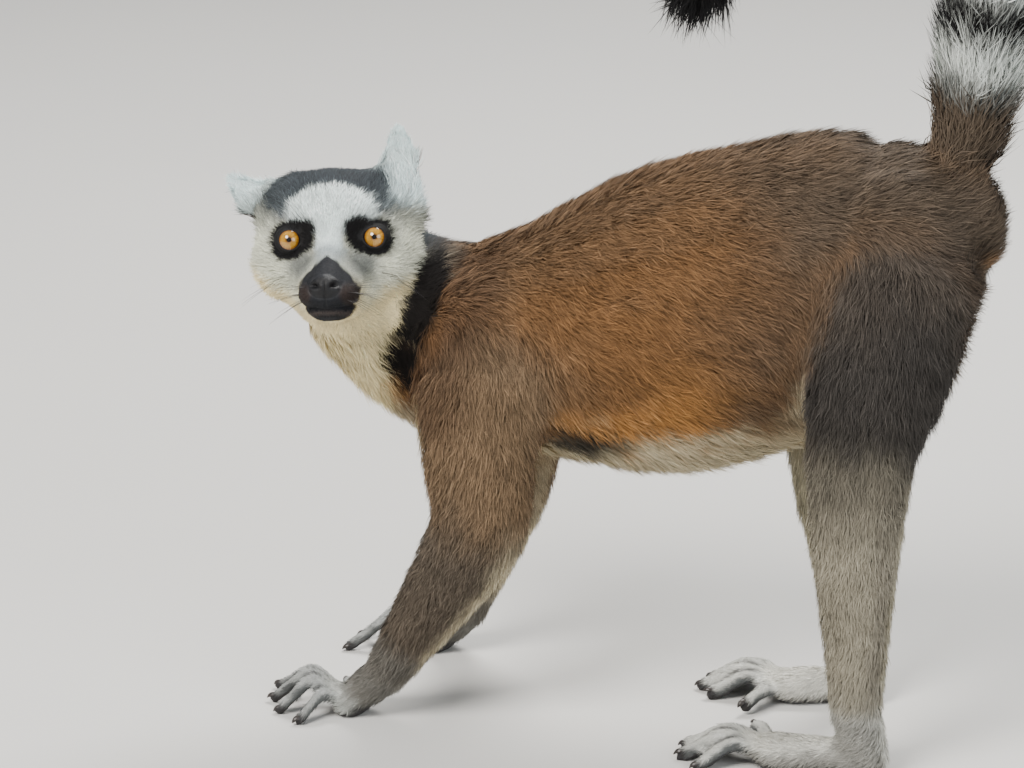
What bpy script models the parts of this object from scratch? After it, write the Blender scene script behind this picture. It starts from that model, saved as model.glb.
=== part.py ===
"""A ring-tailed lemur, life size, standing on all fours with its head turned to its left.

The body faces -Y with its left side at +X, on a floor at z = 0.  The solids are the outer
form of the coat.  Tapered lofts and balls are fused into one body, trimmed flat under the
hands and feet, and then parted into its named lengths by thin cuts.
Sizes are in centimetres where a name ends in _CM and in every station list, whose rows
hold a centre, a half width and a half depth.  All other lengths are in metres.
"""

import math

import bmesh
import bpy
from mathutils import Matrix, Vector

CM = 0.01

# How finely the body is fused, and the gap that a cut leaves between two nodes.
CUT = 0.0004
FUSE_VOXEL = 0.0016
FUSE_SMOOTHING = 8
BODY_TRIANGLES = 3300
LEVEL_FACES = math.radians(1)

# Eyes.
EYE_RADIUS = 0.0070
EYE_SPACING_CM = 4.2
EYE_GAP = 0.0006

# Where the eyes' midpoint is, and how the head turns: left, up and over, in degrees.
EYES_AT_CM = (4.0, -8.02, 24.71)
HEAD_TURN, HEAD_RAISE, HEAD_ROLL = 101.5, 18.0, 3.2

# The trunk from the breast to the rump, the neck, and the throat below the neck.
TRUNK = (
    ((0.3, -4.6, 18.2), 2.7, 3.8),
    ((0.1, -2.0, 18.8), 3.9, 5.0),
    ((0.0, 2.0, 19.3), 4.7, 6.1),
    ((0.0, 7.0, 20.4), 5.4, 7.6),
    ((0.0, 12.0, 22.2), 5.5, 7.7),
    ((0.0, 16.0, 24.3), 5.2, 6.8),
    ((0.0, 19.4, 25.9), 4.5, 5.5),
    ((0.0, 21.0, 27.0), 3.3, 3.8),
)
TAIL_ROOT = (
    ((0, 18.6, 27.0), 3.4, 3.6),
    ((0, 20.6, 28.0), 2.9, 3.0),
    ((0, 21.7, 29.0), 1.95, 1.9),
)
NECK = (
    ((0.2, -2.0, 19.6), 3.6, 4.2),
    ((0.1, -4.8, 20.4), 3.2, 3.8),
    ((0.1, -6.8, 21.5), 2.9, 3.4),
    ((0.9, -8.2, 22.7), 2.9, 2.9),
)
THROAT = (
    ((0.4, -3.8, 17.0), 2.6, 2.9),
    ((1.0, -5.9, 18.4), 2.6, 2.6),
    ((1.9, -7.9, 20.7), 2.7, 2.4),
)

# The head, in its own axes at the eyes' midpoint: x to its left, y to its back, z up.
SNOUT = (
    ((0, 0.8, -1.6), 2.3, 1.7),
    ((0, -0.8, -2.1), 1.8, 1.3),
    ((0, -2.3, -2.6), 1.5, 1.05),
    ((0, -3.1, -2.75), 1.3, 0.85),
)
BRIDGE = (
    ((0, 0.9, -0.2), 1.0, 0.9),
    ((0, -1.0, -0.95), 0.8, 0.8),
    ((0, -2.4, -1.8), 0.75, 0.75),
    ((0, -3.5, -2.4), 0.75, 0.65),
)
JAW = (
    ((0, 1.2, -3.0), 1.8, 1.0),
    ((0, -1.2, -3.4), 1.35, 0.72),
    ((0, -2.6, -3.5), 1.0, 0.55),
)
NOSE_REGION = ((0, -4.0, -2.42), (0.95, 0.85, 0.72))
EAR_BLADE = (
    ((0, 0, -1.4), 1.15, 0.75),
    ((0, 0, 0.2), 1.25, 0.6),
    ((0, 0, 1.8), 1.05, 0.42),
    ((0, 0, 3.2), 0.38, 0.25),
)
EAR_REGION = (((0, 0, 1.3), 1.45, 0.9), ((0, 0, 4.5), 2.0, 1.3))
EAR_ROOTS_CM = {1: (3.35, 1.9, 2.3), -1: (-2.8, 1.9, 1.1)}
EAR_LEANS = {1: -3, -1: 47}

# Hands and feet: each digit's turn from the middle line in degrees, length and arch.
FINGERS = ((-70, 2.6, 0.3), (-23, 4.1, 1.3), (-2, 3.5, 1.5), (20, 3.0, 1.4), (49, 2.5, 0.9))
FINGER_NAMES = ("thumb", "index", "middle", "ring", "little")
FINGER_RADIUS_CM = 0.36
FINGERS_FROM_CM = 1.3
TOES = ((-62, 3.6, 0.4), (-20, 3.3, 0.8), (-4, 3.9, 1.0), (12, 3.8, 1.0), (31, 3.1, 0.8))
TOE_NAMES = ("hallux", "second", "third", "fourth", "fifth")
TOE_RADIUS_CM = 0.42
TOES_FROM_CM = 1.45

# Each leg's joints.
FORELEGS = {
    1: {"elbow": (5.0, -0.2, 10.6), "wrist": (4.6, -5.2, 2.5), "palm": (4.4, -7.2, 0.6), "yaw": 2},
    -1: {"elbow": (4.5, -1.6, 9.9), "wrist": (4.9, -3.9, 2.5), "palm": (5.1, -5.5, 0.6), "yaw": 2},
}
HINDLEGS = {
    1: {
        "hip": (3.6, 20.0, 25.0),
        "knee": (5.9, 18.7, 15.6),
        "ankle": (5.4, 18.9, 3.6),
        "sole": (5.2, 14.8, 0.7),
        "yaw": -4,
    },
    -1: {
        "hip": (3.6, 19.4, 25.0),
        "knee": (4.6, 15.2, 15.0),
        "ankle": (4.1, 16.9, 3.6),
        "sole": (3.4, 13.8, 0.7),
        "yaw": 2,
    },
}

# The tail's centre line, from inside the rump up and over forward, and its thickness.
TAIL_LINE = (
    (0, 21.0, 27.2),
    (0, 22.4, 31.0),
    (0, 23.2, 37.0),
    (0, 23.9, 44.0),
    (0, 23.1, 51.0),
    (0, 19.5, 56.2),
    (0, 14.6, 55.6),
    (0, 11.3, 50.0),
    (0, 10.0, 43.6),
    (0, 9.4, 38.0),
)
TAIL_ROOT_CM, TAIL_FULL_CM, TAIL_TIP_CM = 1.75, 2.35, 1.7
TAIL_LENGTHS = 9
TAIL_SIDES = 14
REGION_SIDES = 12

# Each kind of node's colour in linear light and its roughness.
SLATE_AND_WHITE, WHITE_EAR = (0.42, 0.42, 0.41), (0.66, 0.70, 0.69)
BLACK_MUZZLE, CREAM, AMBER = (0.018, 0.017, 0.019), (0.62, 0.56, 0.46), (0.58, 0.25, 0.03)
RUST, GREY_BROWN, CHARCOAL = (0.34, 0.20, 0.10), (0.25, 0.21, 0.17), (0.13, 0.115, 0.105)
PALE_HAND, RINGED, BLACK_TIP = (0.55, 0.53, 0.50), (0.36, 0.34, 0.31), (0.02, 0.018, 0.017)
COAT_ROUGHNESS, NOSE_ROUGHNESS, EYE_ROUGHNESS = 0.85, 0.35, 0.06
COLOURS = {
    "head": SLATE_AND_WHITE,
    "ear": WHITE_EAR,
    "muzzle": BLACK_MUZZLE,
    "nose": BLACK_MUZZLE,
    "lower": GREY_BROWN,
    "lower_jaw": CREAM,
    "eye": AMBER,
    "neck": CREAM,
    "chest": RUST,
    "belly": RUST,
    "rump": GREY_BROWN,
    "upper": GREY_BROWN,
    "hand": PALE_HAND,
    "thigh": CHARCOAL,
    "shank": CREAM,
    "foot": PALE_HAND,
    "tail": RINGED,
}


def clear_scene():
    for item in list(bpy.data.objects):
        bpy.data.objects.remove(item, do_unlink=True)


# ---------------------------------------------------------------- shapes


def catmull(before, start, end, after, share):
    """A number on the smooth curve through start and end."""
    return 0.5 * (
        2 * start
        + (end - before) * share
        + (2 * before - 5 * start + 4 * end - after) * share**2
        + (3 * start - before - 3 * end + after) * share**3
    )


def smooth_rows(stations, per_span):
    """Rows of x, y, z, half width and half depth, per_span for each gap between stations."""
    rows = [(*centre, wide, deep) for centre, wide, deep in stations]
    rows = [rows[0], *rows, rows[-1]]
    made = []
    for index in range(1, len(rows) - 2):
        columns = list(zip(*rows[index - 1 : index + 3]))
        for step in range(per_span):
            made.append([catmull(*column, step / per_span) for column in columns])
    made.append(list(rows[-1]))
    return made


def rings_through(rows, side, frame):
    """For each row, its centre, the path's own three axes there and its two radii."""
    centres = [frame @ (Vector(row[:3]) * CM) for row in rows]
    side = (frame.to_3x3() @ Vector(side)).normalized()
    last = len(rows) - 1
    rings = []
    for index, centre in enumerate(centres):
        along = (centres[min(index + 1, last)] - centres[max(index - 1, 0)]).normalized()
        across = (side - along * side.dot(along)).normalized()
        rings.append((centre, along, across, along.cross(across), rows[index][3] * CM, rows[index][4] * CM))
    return rings


def round_end(ring, reach):
    """A ring beyond an end of a loft, drawn in so that the end is round."""
    centre, along, across, up, wide, deep = ring
    thin = math.sqrt(1 - reach * reach)
    return (centre + along * reach * min(wide, deep), along, across, up, wide * thin, deep * thin)


def skin_rings(bm, rings, sides):
    """Joins ellipses of vertices into a closed tube."""
    loops = []
    for centre, _, across, up, wide, deep in rings:
        loop = []
        for step in range(sides):
            angle = math.tau * step / sides
            point = centre + across * wide * math.cos(angle) + up * deep * math.sin(angle)
            loop.append(bm.verts.new(point))
        loops.append(loop)
    for lower, upper in zip(loops, loops[1:]):
        for step in range(sides):
            after = (step + 1) % sides
            bm.faces.new((lower[step], lower[after], upper[after], upper[step]))
    bm.faces.new(list(reversed(loops[0])))
    bm.faces.new(loops[-1])


def loft(bm, stations, side=(1, 0, 0), sides=20, per_span=5, frame=Matrix()):
    """A closed tube through the stations with round ends."""
    rings = rings_through(smooth_rows(stations, per_span), side, frame)
    caps = (0.35, 0.7, 0.92)
    first = [round_end(rings[0], -cap) for cap in reversed(caps)]
    final = [round_end(rings[-1], cap) for cap in caps]
    skin_rings(bm, [*first, *rings, *final], sides)


def ball(bm, centre, radii, frame=Matrix(), sides=28):
    """An ellipsoid, with its centre and radii in centimetres."""
    place = frame @ Matrix.Translation(Vector(centre) * CM)
    scale = Matrix.Diagonal((*(radius * CM for radius in radii), 1))
    bmesh.ops.create_uvsphere(
        bm, u_segments=sides, v_segments=sides // 2 + 2, radius=1, matrix=place @ scale
    )


def mid(a, b, share=0.5):
    return tuple(p + (q - p) * share for p, q in zip(a, b))


# ---------------------------------------------------------------- the body's masses


def head_frame():
    """The head's own axes, at the midpoint between the eyes."""
    turn = Matrix.Rotation(math.radians(HEAD_TURN), 4, "Z")
    lift = Matrix.Rotation(math.radians(-HEAD_RAISE), 4, "X")
    roll = Matrix.Rotation(math.radians(-HEAD_ROLL), 4, "Y")
    return Matrix.Translation(Vector(EYES_AT_CM) * CM) @ turn @ lift @ roll


def ear_frame(head, side):
    """An ear's own axes at its root: x across the blade, z to its tip."""
    lean = EAR_LEANS[side]
    return (
        head
        @ Matrix.Translation(Vector(EAR_ROOTS_CM[side]) * CM)
        @ Matrix.Rotation(math.radians(side * lean), 4, "Y")
        @ Matrix.Rotation(math.radians(side * -18), 4, "Z")
    )


def add_trunk(bm):
    loft(bm, TRUNK)
    loft(bm, NECK)
    loft(bm, THROAT)
    loft(bm, TAIL_ROOT)
    for side in (1, -1):
        ball(bm, (side * 2.7, -0.8, 18.8), (2.3, 3.6, 4.4))
        ball(bm, (side * 2.6, 19.2, 25.0), (2.6, 4.0, 4.8))


def add_head(bm, head):
    ball(bm, (0, 2.5, 0.5), (3.55, 3.6, 3.2), head)
    ball(bm, (0, 1.5, -0.1), (4.0, 1.8, 2.9), head)
    ball(bm, (0, 1.7, -2.4), (2.6, 2.3, 1.8), head)
    for side in (1, -1):
        ball(bm, (side * 1.6, 2.6, 1.25), (2.4, 2.7, 2.35), head)
        ball(bm, (side * 2.45, 1.7, -0.9), (1.8, 2.0, 2.1), head)
        ball(bm, (side * 1.9, 0.75, 0.1), (1.6, 1.0, 1.9), head)
        loft(bm, EAR_BLADE, frame=ear_frame(head, side))
    loft(bm, SNOUT, frame=head)
    loft(bm, BRIDGE, frame=head)
    loft(bm, JAW, frame=head)


def add_limb(bm, side, stations):
    loft(bm, [((side * x, y, z), wide, deep) for (x, y, z), wide, deep in stations])


def digit_angle(side, yaw, turn):
    return math.radians(yaw + turn) * side


def add_digit(bm, side, palm, yaw, digit, radius):
    """A finger or toe that rises to a knuckle and comes down on the pad of its tip."""
    turn, length, arch = digit
    angle = digit_angle(side, yaw, turn)
    way = Vector((math.sin(angle), -math.cos(angle), 0))
    middle = Vector((side * palm[0], palm[1], 0))
    root = middle + way * 0.7
    knuckle = middle + way * (0.7 + length * 0.42)
    bend = middle + way * (0.7 + length * 0.76)
    tip = middle + way * (0.7 + length)
    stations = (
        ((root.x, root.y, 0.75), radius * 1.15, radius * 1.1),
        ((knuckle.x, knuckle.y, 0.55 + arch * 0.9), radius * 1.02, radius),
        ((bend.x, bend.y, 0.35 + arch * 0.35), radius, radius),
        ((tip.x, tip.y, radius * 0.6), radius * 1.02, radius),
    )
    loft(bm, stations, side=(math.cos(angle), math.sin(angle), 0), sides=12, per_span=4)


def add_foreleg(bm, side, elbow, wrist, palm, yaw):
    """From the shoulder's muscle to the point of the elbow, the forearm and the hand."""
    shoulder = (3.8, -0.7, 17.8)
    stations = (
        (shoulder, 1.9, 3.4),
        (mid(shoulder, elbow, 0.5), 1.95, 2.95),
        (mid(shoulder, elbow, 0.92), 1.8, 2.55),
        (mid(elbow, wrist, 0.22), 1.7, 2.25),
        (mid(elbow, wrist, 0.6), 1.4, 1.75),
        (wrist, 1.1, 1.2),
    )
    add_limb(bm, side, stations)
    add_limb(bm, side, ((wrist, 1.1, 1.1), (mid(wrist, palm, 0.7), 1.25, 1.0), (palm, 1.4, 0.85)))
    for digit in FINGERS:
        add_digit(bm, side, palm, yaw, digit, FINGER_RADIUS_CM)


def add_hindleg(bm, side, hip, knee, ankle, sole, yaw):
    """From the haunch to the knee, the calf, the heel and the foot."""
    stations = (
        (hip, 2.3, 4.1),
        (mid(hip, knee, 0.5), 2.5, 3.5),
        (mid(hip, knee, 0.9), 2.2, 2.7),
        (mid(knee, ankle, 0.3), 1.9, 2.25),
        (mid(knee, ankle, 0.72), 1.4, 1.65),
        (ankle, 1.15, 1.35),
    )
    add_limb(bm, side, stations)
    heel = (ankle[0], ankle[1] + 0.7, 1.0)
    add_limb(bm, side, ((ankle, 1.15, 1.3), (mid(ankle, heel), 1.1, 1.2), (heel, 1.1, 1.1)))
    add_limb(bm, side, ((heel, 1.05, 1.1), (mid(heel, sole), 1.1, 0.95), (sole, 1.45, 0.9)))
    for digit in TOES:
        add_digit(bm, side, sole, yaw, digit, TOE_RADIUS_CM)


def fused_body(head):
    """All but the tail, as one closed mesh with few triangles, trimmed flat at the floor."""
    bm = bmesh.new()
    add_trunk(bm)
    add_head(bm, head)
    for side, leg in FORELEGS.items():
        add_foreleg(bm, side, **leg)
    for side, leg in HINDLEGS.items():
        add_hindleg(bm, side, **leg)
    bmesh.ops.recalc_face_normals(bm, faces=bm.faces)
    body = new_object("body", bm)
    remesh = body.modifiers.new("Remesh", "REMESH")
    remesh.mode = "VOXEL"
    remesh.voxel_size = FUSE_VOXEL
    smooth = body.modifiers.new("Smooth", "SMOOTH")
    smooth.factor = 0.5
    smooth.iterations = FUSE_SMOOTHING
    apply_modifiers(body)
    decimate = body.modifiers.new("Decimate", "DECIMATE")
    decimate.ratio = BODY_TRIANGLES / (2 * len(body.data.polygons))
    apply_modifiers(body)
    trim(body, Vector((0, 0, 0)), Vector((0, 0, -1)))
    return body


# ---------------------------------------------------------------- cutting tools


def new_object(name, bm):
    mesh = bpy.data.meshes.new(name)
    bm.to_mesh(mesh)
    bm.free()
    item = bpy.data.objects.new(name, mesh)
    bpy.context.scene.collection.objects.link(item)
    return item


def apply_modifiers(item):
    """Makes the evaluated mesh the object's own."""
    graph = bpy.context.evaluated_depsgraph_get()
    mesh = bpy.data.meshes.new_from_object(item.evaluated_get(graph))
    item.modifiers.clear()
    item.data = mesh


def copy_of(item, name):
    twin = bpy.data.objects.new(name, item.data.copy())
    bpy.context.scene.collection.objects.link(twin)
    return twin


def boolean(item, cutter, operation):
    """Cuts with the exact solver, or with the other one where that leaves nothing."""
    whole = item.data
    for solver in ("EXACT", "MANIFOLD"):
        item.data = whole
        modifier = item.modifiers.new(operation, "BOOLEAN")
        modifier.operation = operation
        modifier.solver = solver
        modifier.object = cutter
        apply_modifiers(item)
        if item.data.polygons:
            break


def grow(item, by):
    """Moves a closed mesh's surface outwards."""
    bm = bmesh.new()
    bm.from_mesh(item.data)
    bm.normal_update()
    moves = [(vertex, vertex.normal * by * vertex.calc_shell_factor()) for vertex in bm.verts]
    for vertex, move in moves:
        vertex.co += move
    bm.to_mesh(item.data)
    bm.free()


def main_body_only(item):
    """Drops the crumbs that a cut can leave beside a piece."""
    bm = bmesh.new()
    bm.from_mesh(item.data)
    waiting = set(bm.verts)
    bodies = []
    while waiting:
        edge = [waiting.pop()]
        found = set(edge)
        while edge:
            for link in edge.pop().link_edges:
                for vertex in link.verts:
                    if vertex in waiting:
                        waiting.discard(vertex)
                        found.add(vertex)
                        edge.append(vertex)
        bodies.append(found)
    bodies.sort(key=len)
    for crumb in bodies[:-1]:
        bmesh.ops.delete(bm, geom=list(crumb), context="VERTS")
    bm.to_mesh(item.data)
    bm.free()


def trim(item, point, outward):
    """Removes what lies ahead of a plane and closes the flat that it leaves."""
    bm = bmesh.new()
    bm.from_mesh(item.data)
    cut = bmesh.ops.bisect_plane(
        bm,
        geom=[*bm.verts, *bm.edges, *bm.faces],
        dist=1e-7,
        plane_co=point,
        plane_no=outward,
        clear_outer=True,
    )
    rim = [found for found in cut["geom_cut"] if isinstance(found, bmesh.types.BMEdge)]
    filled = bmesh.ops.holes_fill(bm, edges=rim, sides=0)
    bmesh.ops.triangulate(bm, faces=filled["faces"])
    bm.to_mesh(item.data)
    bm.free()


def halve(item, point, outward, name):
    """Parts what lies ahead of a plane from the item, as a new piece."""
    outward = outward.normalized()
    ahead = copy_of(item, name)
    trim(item, point, outward)
    trim(ahead, point + outward * CUT, -outward)
    main_body_only(item)
    main_body_only(ahead)
    return ahead


def carve(item, region, name):
    """Parts what lies inside a closed region from the item, as a new piece."""
    inside = copy_of(item, name)
    boolean(inside, region, "INTERSECT")
    grow(region, CUT)
    boolean(item, region, "DIFFERENCE")
    bpy.data.objects.remove(region, do_unlink=True)
    main_body_only(item)
    main_body_only(inside)
    return inside


def block(low, high, frame=Matrix()):
    """A box between two corners in centimetres, as a region to carve."""
    low, high = Vector(low) * CM, Vector(high) * CM
    place = frame @ Matrix.Translation((low + high) / 2) @ Matrix.Diagonal((*(high - low), 1))
    bm = bmesh.new()
    bmesh.ops.create_cube(bm, size=1, matrix=place)
    return new_object("region", bm)


def tapered_region(stations, frame=Matrix()):
    """A column of level ellipses with a round top, as a region to carve."""
    axes = [frame.to_3x3() @ Vector(axis) for axis in ((0, 0, 1), (1, 0, 0), (0, 1, 0))]
    rings = []
    for x, y, z, wide, deep in smooth_rows(stations, 2):
        rings.append((frame @ (Vector((x, y, z)) * CM), *axes, wide * CM, deep * CM))
    rings += [round_end(rings[-1], reach) for reach in (0.45, 0.85)]
    bm = bmesh.new()
    skin_rings(bm, rings, REGION_SIDES)
    bmesh.ops.recalc_face_normals(bm, faces=bm.faces)
    return new_object("region", bm)


def sector(side, palm, yaw, start, end, near, gap):
    """An upright wedge seen from above, which holds one digit or all of them."""
    reach, top = 9.0, 4.5
    angles = [digit_angle(side, yaw, turn) for turn in (start, end)]
    steps = 3
    bm = bmesh.new()
    rims = []
    for height in (-1.0, top):
        rim = []
        for step in range(steps + 1):
            angle = angles[0] + (angles[1] - angles[0]) * step / steps
            rim.append((angle, near))
        for step in reversed(range(steps + 1)):
            angle = angles[0] + (angles[1] - angles[0]) * step / steps
            rim.append((angle, reach))
        inset = gap / CM
        middle = (angles[0] + angles[1]) / 2
        loop = []
        for angle, far in rim:
            x = side * palm[0] + math.sin(angle) * far + math.sin(middle) * inset
            y = palm[1] - math.cos(angle) * far - math.cos(middle) * inset
            loop.append(bm.verts.new(Vector((x, y, height)) * CM))
        rims.append(loop)
    low, high = rims
    count = len(low)
    bm.faces.new(low)
    bm.faces.new(high)
    for step in range(count):
        after = (step + 1) % count
        bm.faces.new((low[step], low[after], high[after], high[step]))
    bmesh.ops.recalc_face_normals(bm, faces=bm.faces)
    return new_object("region", bm)


def part_digits(hand, side, palm, yaw, digits, names, near, prefix):
    """Parts each digit from a hand or foot along lines between it and its neighbours."""
    turns = [turn for turn, _, _ in digits]
    edges = [turns[0] - 24, *((a + b) / 2 for a, b in zip(turns, turns[1:])), turns[-1] + 24]
    made = []
    for name, start, end in zip(names, edges, edges[1:]):
        piece = copy_of(hand, prefix + "_" + name)
        wedge = sector(side, palm, yaw, start, end, near, CUT * 2.2)
        boolean(piece, wedge, "INTERSECT")
        bpy.data.objects.remove(wedge, do_unlink=True)
        main_body_only(piece)
        made.append(piece)
    whole = sector(side, palm, yaw, edges[0], edges[-1], near, 0)
    boolean(hand, whole, "DIFFERENCE")
    bpy.data.objects.remove(whole, do_unlink=True)
    main_body_only(hand)
    return made


# ---------------------------------------------------------------- parting the body


def side_name(side):
    return "left" if side > 0 else "right"


def part_foreleg(body, side, elbow, wrist, palm, yaw):
    region = tapered_region(
        (
            ((side * 6.3, -4.0, -2.0), 6.0, 13.0),
            ((side * 6.3, -4.0, 8.6), 6.0, 13.0),
            ((side * 6.2, 0.0, 12.2), 3.4, 4.6),
            ((side * 6.3, -0.4, 18.6), 3.0, 4.0),
        )
    )
    upper = carve(body, region, "upper_foreleg_" + side_name(side))
    elbow, wrist = (Vector((side * x, y, z)) * CM for x, y, z in (elbow, wrist))
    forearm = halve(upper, elbow, Vector((0, -0.27, -0.96)), "lower_foreleg_" + side_name(side))
    hand = halve(forearm, wrist, wrist - elbow, "hand_" + side_name(side))
    fingers = part_digits(hand, side, palm, yaw, FINGERS, FINGER_NAMES, FINGERS_FROM_CM, hand.name)
    return [upper, forearm, hand, *fingers]


def part_hindleg(body, side, hip, knee, ankle, sole, yaw):
    region = tapered_region(
        (
            ((side * 6.3, 15.0, -2.0), 6.2, 13.0),
            ((side * 6.3, 15.0, 9.0), 6.2, 13.0),
            ((side * 6.3, 17.4, 14.0), 4.8, 6.6),
            ((side * 6.2, 19.2, 19.6), 3.8, 5.0),
            ((side * 6.2, 19.8, 24.6), 3.2, 4.2),
        )
    )
    thigh = carve(body, region, "thigh_" + side_name(side))
    knee, ankle = (Vector((side * x, y, z)) * CM for x, y, z in (knee, ankle))
    shank = halve(thigh, knee, ankle - knee, "shank_" + side_name(side))
    foot = halve(shank, ankle, Vector((0, 0, -1)), "foot_" + side_name(side))
    toes = part_digits(foot, side, sole, yaw, TOES, TOE_NAMES, TOES_FROM_CM, foot.name)
    return [thigh, shank, foot, *toes]


def part_head(body, head):
    """The ears, the head, its muzzle, nose and lower jaw, and the two eyes."""
    made = []
    for side in (1, -1):
        region = tapered_region(EAR_REGION, ear_frame(head, side))
        made.append(carve(body, region, "ear_" + side_name(side)))
    tilt = head @ Matrix.Translation(Vector((0, 3.4, -2.9)) * CM) @ Matrix.Rotation(math.radians(38), 4, "X")
    skull = carve(body, block((-7, -10, 0), (4.9, 8, 13), tilt), "head")
    forward = head.to_3x3() @ Vector((0, -1, 0))
    down = head.to_3x3() @ Vector((0, 0, -1))
    muzzle = halve(skull, head @ (Vector((0, -0.95, 0)) * CM), forward, "muzzle")
    jaw = halve(muzzle, head @ (Vector((0, 0, -3.42)) * CM), down, "lower_jaw")
    bm = bmesh.new()
    ball(bm, *NOSE_REGION, head, sides=REGION_SIDES)
    nose = carve(muzzle, new_object("region", bm), "nose")
    made += [skull, muzzle, jaw, nose]
    for side in (1, -1):
        place = head @ Matrix.Translation((side * EYE_SPACING_CM / 2 * CM, 0, 0))
        bm = bmesh.new()
        bmesh.ops.create_uvsphere(bm, u_segments=16, v_segments=9, radius=EYE_RADIUS, matrix=place)
        eye = new_object("eye_" + side_name(side), bm)
        socket = copy_of(eye, "socket")
        grow(socket, EYE_GAP)
        boolean(skull, socket, "DIFFERENCE")
        bpy.data.objects.remove(socket, do_unlink=True)
        made.append(eye)
    main_body_only(skull)
    return made


def part_trunk(body):
    """The neck, chest and belly, parted from the rump, which is what is left."""
    neck = copy_of(body, "neck")
    at = Vector((0, -4.3, 20)) * CM
    ahead = Vector((0, -0.96, 0.28))
    trim(neck, at + ahead * CUT, -ahead)
    trim(body, at, ahead)
    chest = halve(body, Vector((0, 5.5, 0)) * CM, Vector((0, -1, 0)), "chest")
    belly = halve(body, Vector((0, 14.2, 0)) * CM, Vector((0, -1, 0)), "belly")
    body.name = "rump"
    main_body_only(neck)
    return [neck, chest, belly, body]


def tail_radius(share):
    """Slim at the root, full by a fifth of the way, and drawn in at the tip."""
    swell = min(1, share / 0.2)
    radius = TAIL_ROOT_CM + (TAIL_FULL_CM - TAIL_ROOT_CM) * swell * swell * (3 - 2 * swell)
    if share > 0.9:
        radius += (TAIL_TIP_CM - TAIL_FULL_CM) * ((share - 0.9) / 0.1) ** 2
    return radius


def tail_lengths(rump):
    """The tail in flat-ended lengths, the first one hollowed to sit on the rump."""
    last = len(TAIL_LINE) - 1
    stations = [(point, tail_radius(i / last), tail_radius(i / last)) for i, point in enumerate(TAIL_LINE)]
    per_span = 4
    rings = rings_through(smooth_rows(stations, per_span), (1, 0, 0), Matrix())
    made = []
    for index in range(TAIL_LENGTHS):
        piece = rings[index * per_span : (index + 1) * per_span + 1]
        if index < TAIL_LENGTHS - 1:
            centre, along, *rest = piece[-1]
            piece[-1] = (centre - along * CUT, along, *rest)
        else:
            piece += [round_end(piece[-1], reach) for reach in (0.35, 0.7, 0.92)]
        bm = bmesh.new()
        skin_rings(bm, piece, TAIL_SIDES)
        bmesh.ops.recalc_face_normals(bm, faces=bm.faces)
        made.append(new_object("tail_" + str(index + 1), bm))
    seat = copy_of(rump, "seat")
    grow(seat, CUT)
    boolean(made[0], seat, "DIFFERENCE")
    bpy.data.objects.remove(seat, do_unlink=True)
    main_body_only(made[0])
    return made


# ---------------------------------------------------------------- finishing


def merge_level_faces(item):
    """Makes one face of neighbours that lie in one plane, such as those of a cut."""
    bm = bmesh.new()
    bm.from_mesh(item.data)
    bmesh.ops.dissolve_limit(bm, angle_limit=LEVEL_FACES, verts=bm.verts, edges=bm.edges)
    bmesh.ops.triangulate(bm, faces=bm.faces)
    bm.to_mesh(item.data)
    bm.free()


def finish_node(item, home, shift):
    """Gives a node its material and its collection, and moves the origin to the floor's middle."""
    merge_level_faces(item)
    item.data.transform(Matrix.Translation(shift))
    kind = item.name.split("_")[0]
    colour = COLOURS.get(item.name, COLOURS[kind])
    if item.name == "tail_" + str(TAIL_LENGTHS):
        colour = BLACK_TIP
    roughness = {"nose": NOSE_ROUGHNESS, "eye": EYE_ROUGHNESS}.get(kind, COAT_ROUGHNESS)
    material = bpy.data.materials.new(item.name)
    material.use_nodes = True
    shader = material.node_tree.nodes["Principled BSDF"]
    shader.inputs["Base Color"].default_value = (*colour, 1)
    shader.inputs["Roughness"].default_value = roughness
    shader.inputs["Metallic"].default_value = 0
    item.data.materials.clear()
    item.data.materials.append(material)
    item.data.shade_smooth()
    for collection in list(item.users_collection):
        collection.objects.unlink(item)
    home.objects.link(item)


clear_scene()
head = head_frame()
body = fused_body(head)
nodes = []
for side, leg in FORELEGS.items():
    nodes += part_foreleg(body, side, **leg)
for side, leg in HINDLEGS.items():
    nodes += part_hindleg(body, side, **leg)
nodes += part_head(body, head)
nodes += part_trunk(body)
nodes += tail_lengths(body)

home = bpy.data.collections.new("ring_tailed_lemur")
bpy.context.scene.collection.children.link(home)
corners = [vertex.co for item in nodes for vertex in item.data.vertices]
middle = [(min(c[i] for c in corners) + max(c[i] for c in corners)) / 2 for i in (0, 1)]
for item in nodes:
    finish_node(item, home, Vector((-middle[0], -middle[1], 0)))
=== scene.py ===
"""The looks of a life-size ring-tailed lemur, a still model standing on all fours."""

import math

import bmesh
import bpy
import numpy as np
from mathutils import Matrix, Vector
from mathutils.bvhtree import BVHTree
from mathutils.kdtree import KDTree


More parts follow.
